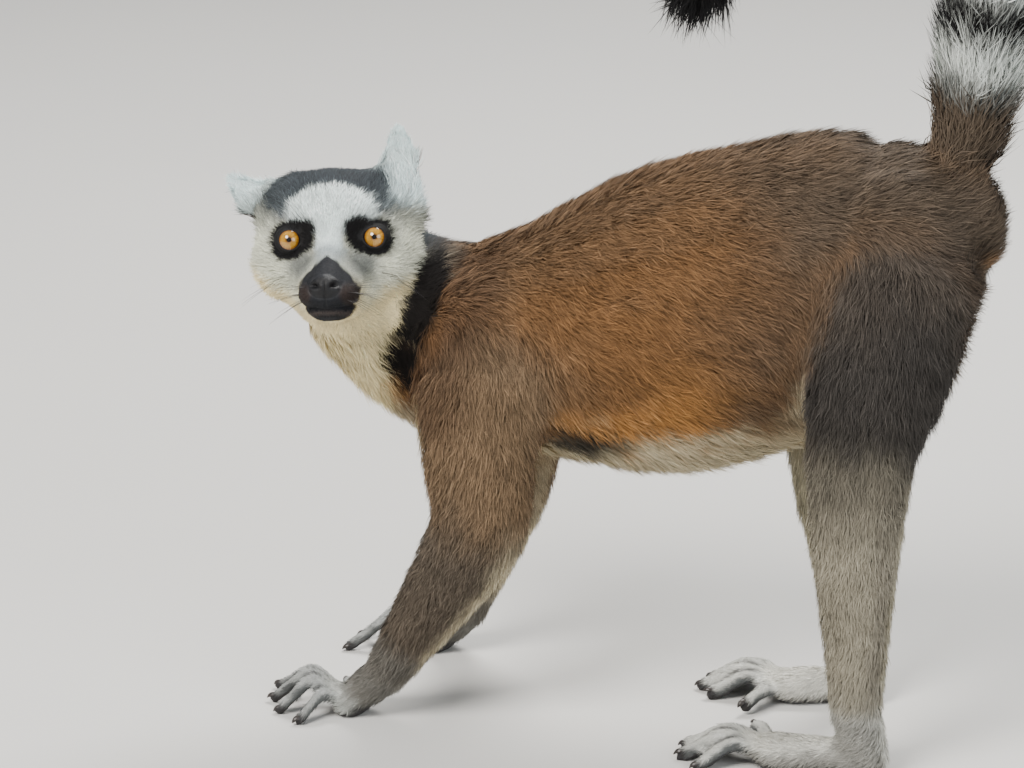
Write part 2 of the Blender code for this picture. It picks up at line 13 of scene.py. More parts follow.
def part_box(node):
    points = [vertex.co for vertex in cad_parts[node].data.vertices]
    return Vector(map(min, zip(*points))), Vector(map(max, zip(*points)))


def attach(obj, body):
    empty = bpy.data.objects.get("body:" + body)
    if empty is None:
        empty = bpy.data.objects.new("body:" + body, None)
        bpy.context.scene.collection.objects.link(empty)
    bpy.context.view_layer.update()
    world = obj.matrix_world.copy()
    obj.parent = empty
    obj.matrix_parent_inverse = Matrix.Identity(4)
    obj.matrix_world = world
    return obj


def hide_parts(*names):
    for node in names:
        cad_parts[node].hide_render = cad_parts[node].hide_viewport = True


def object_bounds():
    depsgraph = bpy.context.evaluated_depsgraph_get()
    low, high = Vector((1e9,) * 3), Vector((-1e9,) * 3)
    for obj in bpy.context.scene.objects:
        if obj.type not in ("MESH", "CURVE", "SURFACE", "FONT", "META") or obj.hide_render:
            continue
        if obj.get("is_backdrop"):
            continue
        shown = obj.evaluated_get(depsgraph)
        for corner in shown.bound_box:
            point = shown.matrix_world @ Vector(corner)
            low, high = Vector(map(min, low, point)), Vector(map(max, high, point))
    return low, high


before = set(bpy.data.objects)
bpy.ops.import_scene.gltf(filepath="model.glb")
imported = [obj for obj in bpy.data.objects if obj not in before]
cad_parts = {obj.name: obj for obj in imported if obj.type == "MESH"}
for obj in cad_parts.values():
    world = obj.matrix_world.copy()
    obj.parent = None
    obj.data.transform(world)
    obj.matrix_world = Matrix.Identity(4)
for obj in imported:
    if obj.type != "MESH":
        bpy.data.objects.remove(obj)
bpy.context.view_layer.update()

random = np.random.default_rng(7)


# ---------------------------------------------------------------- skin
# The hide over the whole animal, in one piece from the nose to the tip of the tail.  It is
# the solids' own form, drawn in by the depth of the coat, with the folds of the head worked
# into it: lids, nostrils, mouth and the cups of the ears.

# Lengths are in metres, but for HEAD_REACH, which is in the head's own centimetres.
SKIN_VOXEL = 0.0019
SKIN_GROW = 0.0006
PLAIN_SHARE = 0.42
PAW_TOP = 0.040
DIGIT_TOP = (0.030, 0.020)
HEAD_REACH = 7
EYE_RADIUS = 0.0070


def unit(vectors):
    return vectors / np.maximum(np.linalg.norm(vectors, axis=-1, keepdims=True), 1e-12)


def ease(low, high, value):
    """0 below low, 1 above high and smooth between them."""
    share = np.clip((value - low) / (high - low), 0, 1)
    return share * share * (3 - 2 * share)


def apart(where, spot):
    """How far each point is from a spot, or from a spot of its own."""
    return np.linalg.norm(where - spot, axis=1)


def from_run(where, start, end, low=0):
    """How far along the line from start to end each point is, as a share, and how far from it."""
    step = end - start
    along = np.clip((where - start) @ step / (step @ step), low, 1)
    return along, apart(where - start, along[:, None] * step)


def middle(node):
    low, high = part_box(node)
    return np.array((low + high) / 2)


def node_points(node):
    return np.array([vertex.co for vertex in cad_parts[node].data.vertices])


def joint(node, other, reach=0.004):
    """The middle of the face that a node turns to its neighbour."""
    points = node_points(other)
    tree = KDTree(len(points))
    for index, point in enumerate(points):
        tree.insert(point, index)
    tree.balance()
    near = [point for point in node_points(node) if tree.find(point)[2] < reach]
    return np.mean(near, axis=0) if near else middle(node)


def far_end(node, start):
    """The middle of the end of a node that is farthest from a point."""
    points = node_points(node)
    away = apart(points, start)
    return points[away > 0.9 * away.max()].mean(axis=0)


# The head's own axes at the midpoint between the eyes: across to its left, back, and up; and
# the way from the head to the viewer, which the eyes look along.
NOSE_BELOW_EYES = math.radians(34.4)
eyes = {side: middle("eye_" + side) for side in ("left", "right")}
eyes_middle = (eyes["left"] + eyes["right"]) / 2
across = unit(eyes["left"] - eyes["right"])
to_nose = middle("nose") - eyes_middle
to_nose = unit(to_nose - across * (to_nose @ across))
up_from_nose = np.cross(across, to_nose)
up_from_nose *= np.sign(up_from_nose[2])
forward = to_nose * math.cos(NOSE_BELOW_EYES) + up_from_nose * math.sin(NOSE_BELOW_EYES)
upward = unit(np.cross(across, -forward))
upward *= np.sign(upward[2])
head_axes = np.stack([across, -forward, upward])
VIEW_TURN, VIEW_RAISE = math.radians(106), math.radians(18)
level = math.cos(VIEW_RAISE)
to_viewer = np.array([math.sin(VIEW_TURN) * level, -math.cos(VIEW_TURN) * level, math.sin(VIEW_RAISE)])


def in_head(points):
    """Points in the head's own axes, in centimetres."""
    return (points - eyes_middle) @ head_axes.T * 100


NOSE_END = (0, -4.0, -2.3)
# Each node's run from its end nearer the head or trunk to its far end.
TAIL = ["tail_" + str(number) for number in range(1, 10)]
runs = {}
spine = ["head", "neck", "chest", "belly", "rump", "tail_1"]
for before, here, after in zip(spine, spine[1:], spine[2:]):
    runs[here] = (joint(here, before), joint(here, after))
tail_joints = [joint(a, b) for a, b in zip(TAIL, TAIL[1:])]
tail_joints = [runs["rump"][1], *tail_joints]
tail_joints.append(far_end(TAIL[-1], tail_joints[-1]))
for name, start, end in zip(TAIL, tail_joints, tail_joints[1:]):
    runs[name] = (start, end)
digits = {}
for side in ("left", "right"):
    for first, second, paw, trunk in (
        ("upper_foreleg_", "lower_foreleg_", "hand_", "chest"),
        ("thigh_", "shank_", "foot_", "rump"),
    ):
        first, second, paw = first + side, second + side, paw + side
        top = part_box(first)[1][2]
        start = middle(first)
        start[2] = top
        runs[first] = (start, joint(first, second))
        runs[second] = (runs[first][1], joint(second, paw))
        digits[paw] = sorted(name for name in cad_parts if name.startswith(paw + "_"))
        roots = [joint(name, paw) for name in digits[paw]]
        knuckles = np.mean(roots, axis=0)
        runs[paw] = (runs[second][1], knuckles)
        for name, root in zip(digits[paw], roots):
            runs[name] = (root, far_end(name, root))
    runs["ear_" + side] = (joint("ear_" + side, "head"), None)
    runs["ear_" + side] = (runs["ear_" + side][0], far_end("ear_" + side, runs["ear_" + side][0]))
nose_middle = middle("nose")
for name in ("head", "muzzle", "lower_jaw", "nose", "eye_left", "eye_right"):
    runs[name] = (nose_middle, eyes_middle)


def fix_modifiers(item):
    """Makes what an object's modifiers show its own mesh."""
    graph = bpy.context.evaluated_depsgraph_get()
    shown = bpy.data.meshes.new_from_object(item.evaluated_get(graph))
    item.modifiers.clear()
    item.vertex_groups.clear()
    item.data = shown


def fused_solids(voxel, grow):
    """One closed mesh over all the nodes, the eyes too, with the gaps between them filled."""
    whole = bmesh.new()
    for name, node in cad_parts.items():
        part = bmesh.new()
        part.from_mesh(node.data)
        bmesh.ops.remove_doubles(part, verts=part.verts, dist=1e-6)
        part.normal_update()
        moves = [(v, v.normal * min(v.calc_shell_factor(), 2) * grow) for v in part.verts]
        for vertex, move in moves:
            vertex.co += move
        mesh = bpy.data.meshes.new("part")
        part.to_mesh(mesh)
        part.free()
        whole.from_mesh(mesh)
        bpy.data.meshes.remove(mesh)
    mesh = bpy.data.meshes.new("skin")
    whole.to_mesh(mesh)
    whole.free()
    item = bpy.data.objects.new("skin", mesh)
    bpy.context.scene.collection.objects.link(item)
    remesh = item.modifiers.new("Remesh", "REMESH")
    remesh.mode = "VOXEL"
    remesh.voxel_size = voxel
    fix_modifiers(item)
    return item


def rows_of(items, field, width, number=np.float32):
    """One field of a mesh's points, edges or triangles, a row for each."""
    flat = np.empty(len(items) * width, number)
    items.foreach_get(field, flat)
    return flat.reshape(-1, width)


def points_of(mesh):
    return rows_of(mesh.vertices, "co", 3).astype(float)


def normals_of(mesh):
    return rows_of(mesh.vertex_normals, "vector", 3).astype(float)


def edges_of(mesh):
    return rows_of(mesh.edges, "vertices", 2, np.int32)


def set_points(mesh, points):
    mesh.vertices.foreach_set("co", points.astype(np.float32).ravel())
    mesh.update()


def spread(values, edges, rounds, keep=1.0):
    """Evens values out over the mesh, a little further with each round."""
    values = np.array(values, float)
    flat = values.reshape(len(values), -1)
    count = len(flat)
    degree = np.bincount(edges.ravel(), minlength=count)[:, None] + keep
    for _ in range(rounds):
        total = flat * keep
        for column in range(flat.shape[1]):
            total[:, column] += np.bincount(edges[:, 0], flat[edges[:, 1], column], count)
            total[:, column] += np.bincount(edges[:, 1], flat[edges[:, 0], column], count)
        flat = total / degree
    return flat.reshape(values.shape)


skin = fused_solids(SKIN_VOXEL, SKIN_GROW)
points = points_of(skin.data)
edges = edges_of(skin.data)
evened = spread(points, edges, 6)
digit_zone = ease(*DIGIT_TOP, points[:, 2])[:, None]
set_points(skin.data, evened + (spread(points, edges, 2) - evened) * digit_zone)

# What the long coat hides is left coarse: all but the head, the hands and the feet.
front = in_head(points_of(skin.data))
plain = np.flatnonzero((points[:, 2] > PAW_TOP) & (apart(front, (0, 1, 0)) > HEAD_REACH))
group = skin.vertex_groups.new(name="plain")
group.add(plain.tolist(), 1.0, "REPLACE")
decimate = skin.modifiers.new("Decimate", "DECIMATE")
decimate.ratio = PLAIN_SHARE
decimate.vertex_group = "plain"
fix_modifiers(skin)

# The face is worked finer than the rest, and finest about the eyes, the nose and the mouth.
# Here as below, x, y and z are in the head's own axes.
sculpt = bmesh.new()
sculpt.from_mesh(skin.data)
for zone in ("face", "features"):
    chosen = []
    for edge in sculpt.edges:
        x, y, z = in_head(np.array((edge.verts[0].co + edge.verts[1].co) / 2))
        if zone == "face":
            inside = y < 2.2 and abs(x) < 4.4 and -5 < z < 3.2
        else:
            by_eye = (abs(x) - 2.0) ** 2 + z**2 < 1.7 and y < 1
            by_mouth = y < -1.4 and abs(x) < 1.9
            inside = by_eye or by_mouth
        if inside:
            chosen.append(edge)
    bmesh.ops.subdivide_edges(sculpt, edges=chosen, cuts=1, use_grid_fill=True)
bmesh.ops.triangulate(sculpt, faces=sculpt.faces)
sculpt.normal_update()
sculpt.to_mesh(skin.data)
sculpt.free()
points = points_of(skin.data)
edges = edges_of(skin.data)
front = in_head(points)
near_face = ((front[:, 1] < 3) & (np.abs(front).max(axis=1) < 6))[:, None]
points = np.where(near_face, spread(points, edges, 3), points)
set_points(skin.data, points)

# Which node each point of the skin belongs to.
names = sorted(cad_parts)
corners, triangles, owner = [], [], []
for index, name in enumerate(names):
    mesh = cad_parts[name].data
    mesh.calc_loop_triangles()
    for triangle in mesh.loop_triangles:
        triangles.append([corner + len(corners) for corner in triangle.vertices])
        owner.append(index)
    corners.extend(vertex.co.copy() for vertex in mesh.vertices)
surface = BVHTree.FromPolygons(corners, triangles)
label = np.array([owner[surface.find_nearest(point)[2]] for point in points.tolist()])
paws = ("hand", "foot")


def kind(name):
    """The sort of node: the same word for left and right and for each length of the tail."""
    if name.startswith(paws):
        return "digit" if name.count("_") == 2 else name.split("_")[0]
    for word in ("tail", "ear", "eye", "thigh", "shank", "upper_foreleg", "lower_foreleg"):
        if name.startswith(word):
            return word
    return name


# The coat on each kind of node: hair length in mm, lift in degrees, tuft width in mm and
# tufts to the square centimetre.
COAT = {
    "head": (6.0, 24, 0.40, 300),
    "eye": (2.0, 15, 0.30, 0),
    "muzzle": (1.4, 14, 0.26, 420),
    "nose": (1.0, 10, 0.25, 0),
    "lower_jaw": (2.6, 18, 0.30, 420),
    "ear": (5.6, 22, 0.27, 640),
    "neck": (14.0, 28, 0.38, 255),
    "chest": (14.5, 31, 0.38, 198),
    "belly": (15.0, 31, 0.39, 182),
    "rump": (15.0, 31, 0.39, 196),
    "thigh": (12.0, 30, 0.37, 205),
    "shank": (9.0, 26, 0.38, 165),
    "upper_foreleg": (10.0, 30, 0.36, 205),
    "lower_foreleg": (7.5, 28, 0.33, 235),
    "hand": (4.5, 20, 0.34, 200),
    "foot": (5.5, 20, 0.34, 190),
    "digit": (3.0, 16, 0.30, 200),
    "tail": (27.0, 36, 0.66, 118),
}
of_kind = np.array([kind(name) for name in names])
coat_table = np.array([COAT[word] for word in of_kind])


def on(*words):
    """Which points of the skin are on these kinds of node."""
    return np.isin(of_kind[label], words)


length, lift, width, density = coat_table[label].T
length, width = length / 1000, width / 1000
lift = np.radians(lift)
front = in_head(points)
on_head = on("head", "muzzle", "nose", "lower_jaw", "eye")
from_nose = apart(front, NOSE_END)
by_eye = np.minimum(apart(points, eyes["left"]), apart(points, eyes["right"]))
head_length = (1.1 + 1.10 * np.maximum(0, from_nose - 1.6)) * (0.42 + 0.58 * ease(0.008, 0.018, by_eye))
head_length = np.where(np.abs(front[:, 0]) > 0.75, head_length, np.minimum(head_length, 4.5 + front[:, 1]))
cheek = ease(2.6, 4.0, np.abs(front[:, 0])) * ease(2.0, 0.0, front[:, 2]) * ease(-5.5, -4.0, front[:, 2])
head_length = head_length + 4.5 * cheek
length = np.where(on_head, head_length / 1000, length)

# The lie of the coat runs along each node and a little down the flanks.  On the head it spreads
# back from the nose, and about the ears it turns up towards their tips.
FLANK_DROOP = 0.35
starts = np.array([runs[name][0] if name in runs else nose_middle for name in names])
ends = np.array([runs[name][1] if name in runs else eyes_middle for name in names])
lie = unit(ends - starts)[label]
down_flank = on("chest", "belly", "rump", "neck")
lie = lie + down_flank[:, None] * np.array([0, 0, -FLANK_DROOP])
lie = np.where(on_head[:, None], unit(points - nose_middle), lie)
on_ear = on("ear")
for side in ("left", "right"):
    root, tip = runs["ear_" + side]
    mine = (label == names.index("ear_" + side))[:, None]
    to_tip = unit(tip + 0.25 * (tip - root) - points)
    lie = np.where(mine, to_tip, lie)
    by_ear = apart(points - root, 0.1 * (tip - root))
    about = (ease(0.030, 0.014, by_ear) * (on_head & (front[:, 2] > 0.8)))[:, None]
    about *= ease(0.8, 0.1, front[:, 1] - in_head(root)[1])[:, None]
    lie = lie + (to_tip - lie) * 0.8 * about
    length = length + 0.004 * about[:, 0] * ease(0.5, 0.9, np.abs(front[:, 0]) / 4)
combed = np.column_stack([lie, length * 1000, lift, width * 1000])
fields = spread(combed, edges, 45)
sharp = spread((on_head | on_ear)[:, None], edges, 12)
fields = fields + (spread(combed, edges, 6) - fields) * sharp
lie, length, lift, width = fields[:, :3], fields[:, 3] / 1000, fields[:, 4], fields[:, 5] / 1000

# Drawn in by the height to which the coat stands.
skin_normals = normals_of(skin.data)
COAT_HEIGHT, EAR_DEPTH = 0.6, 0.0010
depth = COAT_HEIGHT * length * np.sin(lift) + SKIN_GROW
depth = np.where(on_ear, np.minimum(depth, EAR_DEPTH), depth)
depth *= 1 - 0.9 * (ease(0.004, 0.001, points[:, 2]) * (skin_normals[:, 2] < 0))
inward = spread(skin_normals * depth[:, None], edges, 4)
points = points - inward
points[:, 2] = np.maximum(points[:, 2], 0.0002)

# Lids: the skin closes over each eye, and the part within the lids' edge is sunk in it.
LID_OPENING, LID_SPAN, LID_THICK = math.radians(46), math.radians(38), 0.0005
INNER_CORNER, TOP_DROOP = math.radians(9), math.radians(4)
LID_REACH = (0.0165, 0.0110)
SOCKET_RADIUS = 0.80 * EYE_RADIUS
eye_hole = np.zeros(len(points))
lid_rim = np.zeros(len(points))
for side, sign in (("left", 1), ("right", -1)):
    centre = eyes[side]
    arm = points - centre
    away = np.linalg.norm(arm, axis=1)
    turn = np.arccos(np.clip(arm @ to_viewer / np.maximum(away, 1e-9), -1, 1))
    beside = unit(arm - np.outer(arm @ to_viewer, to_viewer))
    inner = np.clip(beside @ (-sign * across), 0, 1)
    over = np.clip(beside @ upward, 0, 1)
    opening = LID_OPENING + INNER_CORNER * inner**6 - TOP_DROOP * over**2
    margin = EYE_RADIUS + LID_THICK
    within = SOCKET_RADIUS + (margin - SOCKET_RADIUS) * ease(-0.09, 0.0, turn - opening)
    natural = ease(0.0, LID_SPAN, turn - opening)
    target = within + (np.maximum(away, margin) - within) * natural
    near = ease(*LID_REACH, away) * (turn < math.radians(100))
    points = points + unit(arm) * ((target - away) * near)[:, None]
    near = near > 0.5
    eye_hole = np.maximum(eye_hole, near * (turn < opening - 0.01))
    lid_rim = np.maximum(lid_rim, near * (1 - ease(0.0, 0.16, turn - opening)))

# The bare pad of the nose with its nostrils and cleft, the whisker pads, the mouth and the lip.
PAD_RISE, PAD_RIM, WHISKER_PAD_RISE, LIP_RISE = 0.00025, 0.0003, 0.0013, 0.0006
NOSTRIL_DEPTH, CLEFT_DEPTH, MOUTH_DEPTH = 0.0022, 0.0006, 0.0013
NOSTRIL_ACROSS, NOSTRIL_UP, MOUTH_UP = 0.44, -2.44, -3.52
x, y, z = in_head(points).T
snout_top = np.exp(-((x / 1.1) ** 2) - ((z + 2.2) / 0.8) ** 2) * ease(-1.8, -2.3, y)
points = points + (spread(points, edges, 16) - points) * snout_top[:, None]
front = in_head(points)
skin_normals = unit(skin_normals)
x, y, z = front.T
on_snout = ease(-2.2, -2.7, y)
pad_half = 0.80 - 0.28 * np.clip(-2.15 - z, 0, 1)
pad_reach = (np.abs(x / pad_half) ** 3 + np.abs((z + 2.50) / 0.50) ** 3) ** (1 / 3)
raised = PAD_RISE * ease(1.10, 0.70, pad_reach) * on_snout
raised -= PAD_RIM * np.exp(-(((pad_reach - 1.14) / 0.10) ** 2)) * on_snout * ease(-1.95, -2.3, z)
for sign in (1, -1):
    whisker_pad = np.exp(-(((x - sign * 1.05) / 0.42) ** 2) - ((z + 2.88) / 0.38) ** 2)
    raised += WHISKER_PAD_RISE * whisker_pad * on_snout
    sideways = (x - sign * NOSTRIL_ACROSS) * sign
    bend = z - NOSTRIL_UP + 0.9 * sideways**2 - 0.25 * sideways
    raised -= NOSTRIL_DEPTH * np.exp(-(((sideways - 0.06) / 0.19) ** 2) - (bend / 0.115) ** 2) * on_snout
raised -= CLEFT_DEPTH * np.exp(-((x / 0.05) ** 2)) * ease(-2.1, -2.4, z) * ease(-3.58, -3.45, z) * on_snout
mouth_height = MOUTH_UP - 0.12 * np.exp(-((x / 0.45) ** 2)) + 0.16 * (y + 3.0).clip(0, 4)
mouth = np.exp(-(((z - mouth_height) / 0.075) ** 2)) * ease(-0.8, -1.2, y) * (z < -2.6)
raised -= MOUTH_DEPTH * mouth
lip = np.exp(-(((z - mouth_height + 0.22) / 0.13) ** 2)) * ease(-2.0, -2.4, y)
raised += LIP_RISE * lip * ease(1.3, 0.9, np.abs(x))
points = points + skin_normals * raised[:, None]

# Grooves between the fingers and between the toes, where they lie side by side.
GROOVE_DEPTH = 0.0007
groove = np.zeros(len(points))
for digit_names in digits.values():
    rows = []
    for name in digit_names:
        root, tip = (np.array(place) for place in runs[name])
        rows.append(from_run(points, root, tip, -0.25)[1])
    nearest, second = np.sort(np.array(rows), axis=0)[:2]
    groove = np.maximum(groove, ease(0.0020, 0.0003, second - nearest) * ease(0.011, 0.008, nearest))
groove *= spread(on("digit"), edges, 3)
points = points - skin_normals * (GROOVE_DEPTH * groove)[:, None]

# Each ear is hollowed on its front.
CUP_DEPTH = 0.0030
for side, sign in (("left", 1), ("right", -1)):
    ear = "ear_" + side
    root, tip = runs[ear]
    along = unit(tip - root)
    wide = unit(np.cross(along, forward))
    facing = unit(np.cross(wide, along))
    facing *= np.sign(facing @ forward)
    height = (points - root) @ along / np.linalg.norm(tip - root)
    half = np.abs((node_points(ear) - root) @ wide).max()
    half = half * np.sqrt(np.clip(1.02 - np.clip(height, -0.3, 1), 0, 1))
    offset = (points - root) @ wide / np.maximum(half, 1e-6)
    hollow = np.clip(1 - offset**2, 0, 1) * ease(-0.35, 0.05, height) * ease(0.95, 0.6, height)
    hollow *= (skin_normals @ facing > 0.15) * (apart(points, root) < 0.045)
    hollow *= on("ear", "head")
    points = points - np.outer(hollow * CUP_DEPTH, facing)
set_points(skin.data, points)
skin_normals = normals_of(skin.data)

# The markings, as colours of each point of the skin, and how grizzled the coat is there.
ORANGE_BROWN = (0.205, 0.102, 0.040)
GOLDEN = (0.41, 0.195, 0.058)
BACK_BROWN = (0.155, 0.092, 0.048)
SHOULDER_BROWN = (0.075, 0.042, 0.024)
RUMP_GREY = (0.090, 0.067, 0.047)
CREAM = (0.58, 0.50, 0.34)
CREAM_WHITE = (0.82, 0.70, 0.41)
WHITE = (0.66, 0.69, 0.65)
ARMPIT_HAIR_AND_SHADE = (0.010, 0.009, 0.009)
BLACK = (0.0045, 0.0042, 0.0046)
NECK_UNDERFUR_AND_SHADE = (0.006, 0.0045, 0.004)
NAPE_GREY = (0.088, 0.080, 0.070)
SLATE = (0.056, 0.066, 0.072)
DARK_SLATE = (0.030, 0.036, 0.042)
EAR_WHITE = (0.72, 0.85, 0.85)
CHEEK_WHITE = (0.68, 0.69, 0.56)
FACE_WHITE = (0.75, 0.84, 0.82)
BROW_GREY = (0.16, 0.17, 0.17)
SMEAR_SHADE_GREY = (0.060, 0.070, 0.080)
BRIDGE_HIGHLIGHT_BLUE = (0.20, 0.235, 0.26)
SNOUT_BLACK = (0.011, 0.012, 0.015)
WHISKER_PAD_BROWN = (0.030, 0.020, 0.017)
LIP_BROWN = (0.085, 0.066, 0.058)
NOSE_BLACK = (0.006, 0.006, 0.007)
UPPER_ARM = (0.180, 0.118, 0.067)
LEG_BROWN = (0.098, 0.078, 0.058)
WRIST_GREY = (0.135, 0.125, 0.108)
THIGH_BROWN = (0.072, 0.058, 0.046)
THIGH_GREY = (0.042, 0.037, 0.033)
KNEE_GREY = (0.070, 0.060, 0.050)
CALF_GREY = (0.23, 0.205, 0.165)
SHIN_CREAM = (0.47, 0.43, 0.31)
PAW_GREY = (0.42, 0.43, 0.40)
FOOT_WHITE = (0.60, 0.59, 0.53)
FOOT_SIDE_GREY = (0.20, 0.195, 0.175)
DIGIT_SIDE_GREY = (0.085, 0.090, 0.092)
FINGER_GREY = (0.36, 0.37, 0.36)
TOE_WHITE = (0.58, 0.58, 0.54)
GROOVE_SHADE_GREY = (0.040, 0.040, 0.042)
PAD_BLACK = (0.020, 0.018, 0.019)


def waves(where, size, seed):
    """A smooth uneven field, mostly between -1 and 1, with lumps of about this size."""
    chance = np.random.default_rng(seed)
    total = np.zeros(len(where))
    for _ in range(7):
        direction = unit(chance.normal(size=3)) * chance.uniform(0.7, 1.5)
        total += np.sin(where @ direction * 2 * math.pi / size + chance.uniform(0, 2 * math.pi))
    return total / 3


def paint(shade, amount):
    """Lays a colour over the markings, by an amount for each point of the skin."""
    colour[:] += (np.array(shade) - colour) * np.clip(amount, 0, 1)[:, None]


def disc(across_cm, up_cm, centre, radii, soft=0.15):
    """1 within an oval seen from the front, 0 outside it."""
    away = np.hypot((across_cm - centre[0]) / radii[0], (up_cm - centre[1]) / radii[1])
    return ease(1 + soft, 1 - soft, away)


def share_of(*words, rounds=14):
    """1 on these kinds of node and 0 on the rest, evened out at the border."""
    return spread(on(*words), edges, rounds)


# A tuft is seen by its tip, so the markings are laid out where the tips come to lie.
reach_out = 0.62 * length * ease(2.6, 4.6, apart(in_head(points), NOSE_END))
painted = points + lie * (reach_out * (1 - 0.5 * on("digit", "hand", "foot")))[:, None]
x, y, z = in_head(painted).T
off = np.abs(x)
up = skin_normals[:, 2]
back = skin_normals[:, 1]
outer = np.sign(points[:, 0]) * skin_normals[:, 0]
far_side = ease(0.20, -0.35, skin_normals @ to_viewer)
uneven = waves(points, 0.006, 1)
broad = waves(points, 0.05, 2)
fringe = 0.10 * uneven
colour = np.tile(np.array(LEG_BROWN), (len(points), 1))

# The trunk: rusty brown, browner on the back, golden low on the flank, greyer on the hips and
# cream beneath, with a dark streak of hair and painted shade at the armpit on the near side.
trunk = share_of("chest", "belly", "rump", "neck")
paint(ORANGE_BROWN, trunk)
paint(BACK_BROWN, trunk * ease(0.15, 0.75, up + 0.10 * broad))
hips = ease(-0.075, 0.045, points[:, 1] - runs["rump"][0][1] + 0.018 * broad + 0.004 * uneven)
paint(GOLDEN, trunk * ease(-0.05, -0.45, up + 0.12 * broad) * (1 - 0.8 * hips))
paint(RUMP_GREY, trunk * hips * ease(-0.75, -0.35, up))
under = ease(-0.40, -0.60, up + 0.10 * uneven) * ease(0.250, 0.225, points[:, 2])
paint(CREAM, trunk * under)
neck_joint = runs["neck"][1]
above_joint = painted[:, 2] - neck_joint[2]
behind = painted[:, 1] - (neck_joint[1] + 0.28 * above_joint) + 0.0016 * uneven
chest_front = share_of("chest", "neck") * ease(0.35, 0.8, -back)
inner_arm = share_of("upper_foreleg") * ease(0.2, 0.7, -back) * ease(0.35, -0.1, outer)
chest_front = np.maximum(chest_front, inner_arm)
chest_front = np.maximum(chest_front, trunk * ease(0.004, -0.003, behind))
chest_front = chest_front * np.maximum(ease(0.0, -0.008, behind), ease(-0.015, -0.030, above_joint))
paint(CREAM_WHITE, chest_front * ease(0.5, 0.0, up) * (1 - 0.6 * share_of("upper_foreleg")))
# Dark hair and painted shade at the armpit behind the elbow, laid on the near side only.
armpit = joint("upper_foreleg_left", "lower_foreleg_left") + np.array([0, 0.043, 0.048])
hair_and_shade_streak = np.linalg.norm((points - armpit) / np.array([1, 0.026, 0.008]), axis=1)
paint(ARMPIT_HAIR_AND_SHADE, 0.95 * ease(1.3, 0.7, hair_and_shade_streak + 0.15 * uneven) * (points[:, 0] > 0) * trunk)

# The hind legs: dark grey outside the thigh behind a cream edge, grey at the knee and down the
# calf, cream within and down the shin.
thigh = share_of("thigh", rounds=90)
on_thigh = share_of("thigh", rounds=20)
above_knee = painted[:, 2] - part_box("shank_left")[1][2]
thigh_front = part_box("thigh_left")[0][1]
past_front = painted[:, 1] - thigh_front - 0.012 - 0.28 * above_knee + 0.0015 * uneven
flank = ease(0.25, 0.8, on_thigh) * ease(0.002, -0.006, past_front) * ease(-0.45, 0.0, outer)
paint(ORANGE_BROWN, flank)
paint(RUMP_GREY, 0.9 * flank * hips)
paint(CREAM, flank * ease(-0.016, -0.006, past_front) * ease(0.050, 0.030, above_knee))
dark_thigh = ease(0.05, 0.75, thigh + 0.16 * broad + 0.06 * uneven) * ease(-0.45, 0.0, outer + 0.1 * uneven)
dark_thigh *= ease(-0.006, 0.005, past_front)
paint(THIGH_BROWN, dark_thigh)
dark_thigh *= ease(0.110, 0.050, above_knee + 0.014 * broad + 0.005 * uneven)
paint(THIGH_GREY, dark_thigh)
paint(CREAM, share_of("thigh") * ease(-0.30, -0.6, outer))
groin = share_of("thigh", "rump", rounds=20) * ease(0.45, 0.8, -back) * ease(0.35, 0.0, outer)
paint(CREAM, groin * (points[:, 2] < 0.22))
shank = share_of("shank", rounds=10)
paint(SHIN_CREAM, shank)
calf = np.maximum(ease(-0.1, 0.7, back) * ease(-0.2, 0.5, outer), 0.75 * ease(-0.2, 0.5, outer))
paint(CALF_GREY, 0.85 * shank * calf)
paint(KNEE_GREY, shank * ease(-0.040, 0.004, above_knee + 0.004 * uneven) * ease(-0.2, 0.4, outer))

# The forelegs: brown above, grey-brown below and cream behind.
low_arm = share_of("lower_foreleg")
upper_arm = share_of("upper_foreleg")
paint(UPPER_ARM, upper_arm * (1 - 0.8 * chest_front))
paint(LEG_BROWN, low_arm)
behind_arm = ease(0.35, 0.85, back + 0.1 * uneven)
paint(CREAM, np.maximum(low_arm * behind_arm, 0.7 * upper_arm * ease(-0.3, -0.6, outer)))

# Hands and feet: pale grey, with darker wrists and sides, black pads and finger ends, and painted shade in
# the grooves between the digits.
paw = share_of("hand", "foot", "digit")
paint(PAW_GREY, paw)
to_wrist = np.minimum(apart(points, runs["hand_left"][0]), apart(points, runs["hand_right"][0]))
wrist = share_of("hand", "lower_foreleg") * ease(0.030, 0.018, to_wrist + 0.002 * uneven)
paint(WRIST_GREY, 0.9 * wrist)
foot = share_of("foot", rounds=4)
paint(FOOT_WHITE, foot * (1 - 0.5 * ease(-0.2, -0.6, up)))
paint(FOOT_SIDE_GREY, 0.7 * foot * ease(0.2, 0.7, outer) * ease(0.75, 0.35, up + 0.1 * uneven))
digit_names = [name for name in names if kind(name) == "digit"]
to_tip = np.min([apart(points, runs[name][1]) for name in digit_names], axis=0)
digit = share_of("digit", rounds=3)
on_top = ease(0.25, 0.70, up + 0.08 * uneven)
of_foot = spread(np.array([name.startswith("foot") for name in names])[label], edges, 3)
paint(DIGIT_SIDE_GREY, 0.9 * digit * (1 - on_top))
paint(FINGER_GREY, 0.85 * digit * on_top * (1 - of_foot))
paint(TOE_WHITE, 0.85 * digit * on_top * of_foot)
# Painted shade in the grooves between the fingers and between the toes.
paint(GROOVE_SHADE_GREY, 0.9 * groove)
paint(PAD_BLACK, digit * ease(0.0075, 0.0035, to_tip))
pad = paw * ease(0.011, 0.005, points[:, 2]) * ease(0.0, -0.5, up)
paint(PAD_BLACK, pad)
pad = np.maximum(pad, digit * ease(0.0065, 0.0035, to_tip))

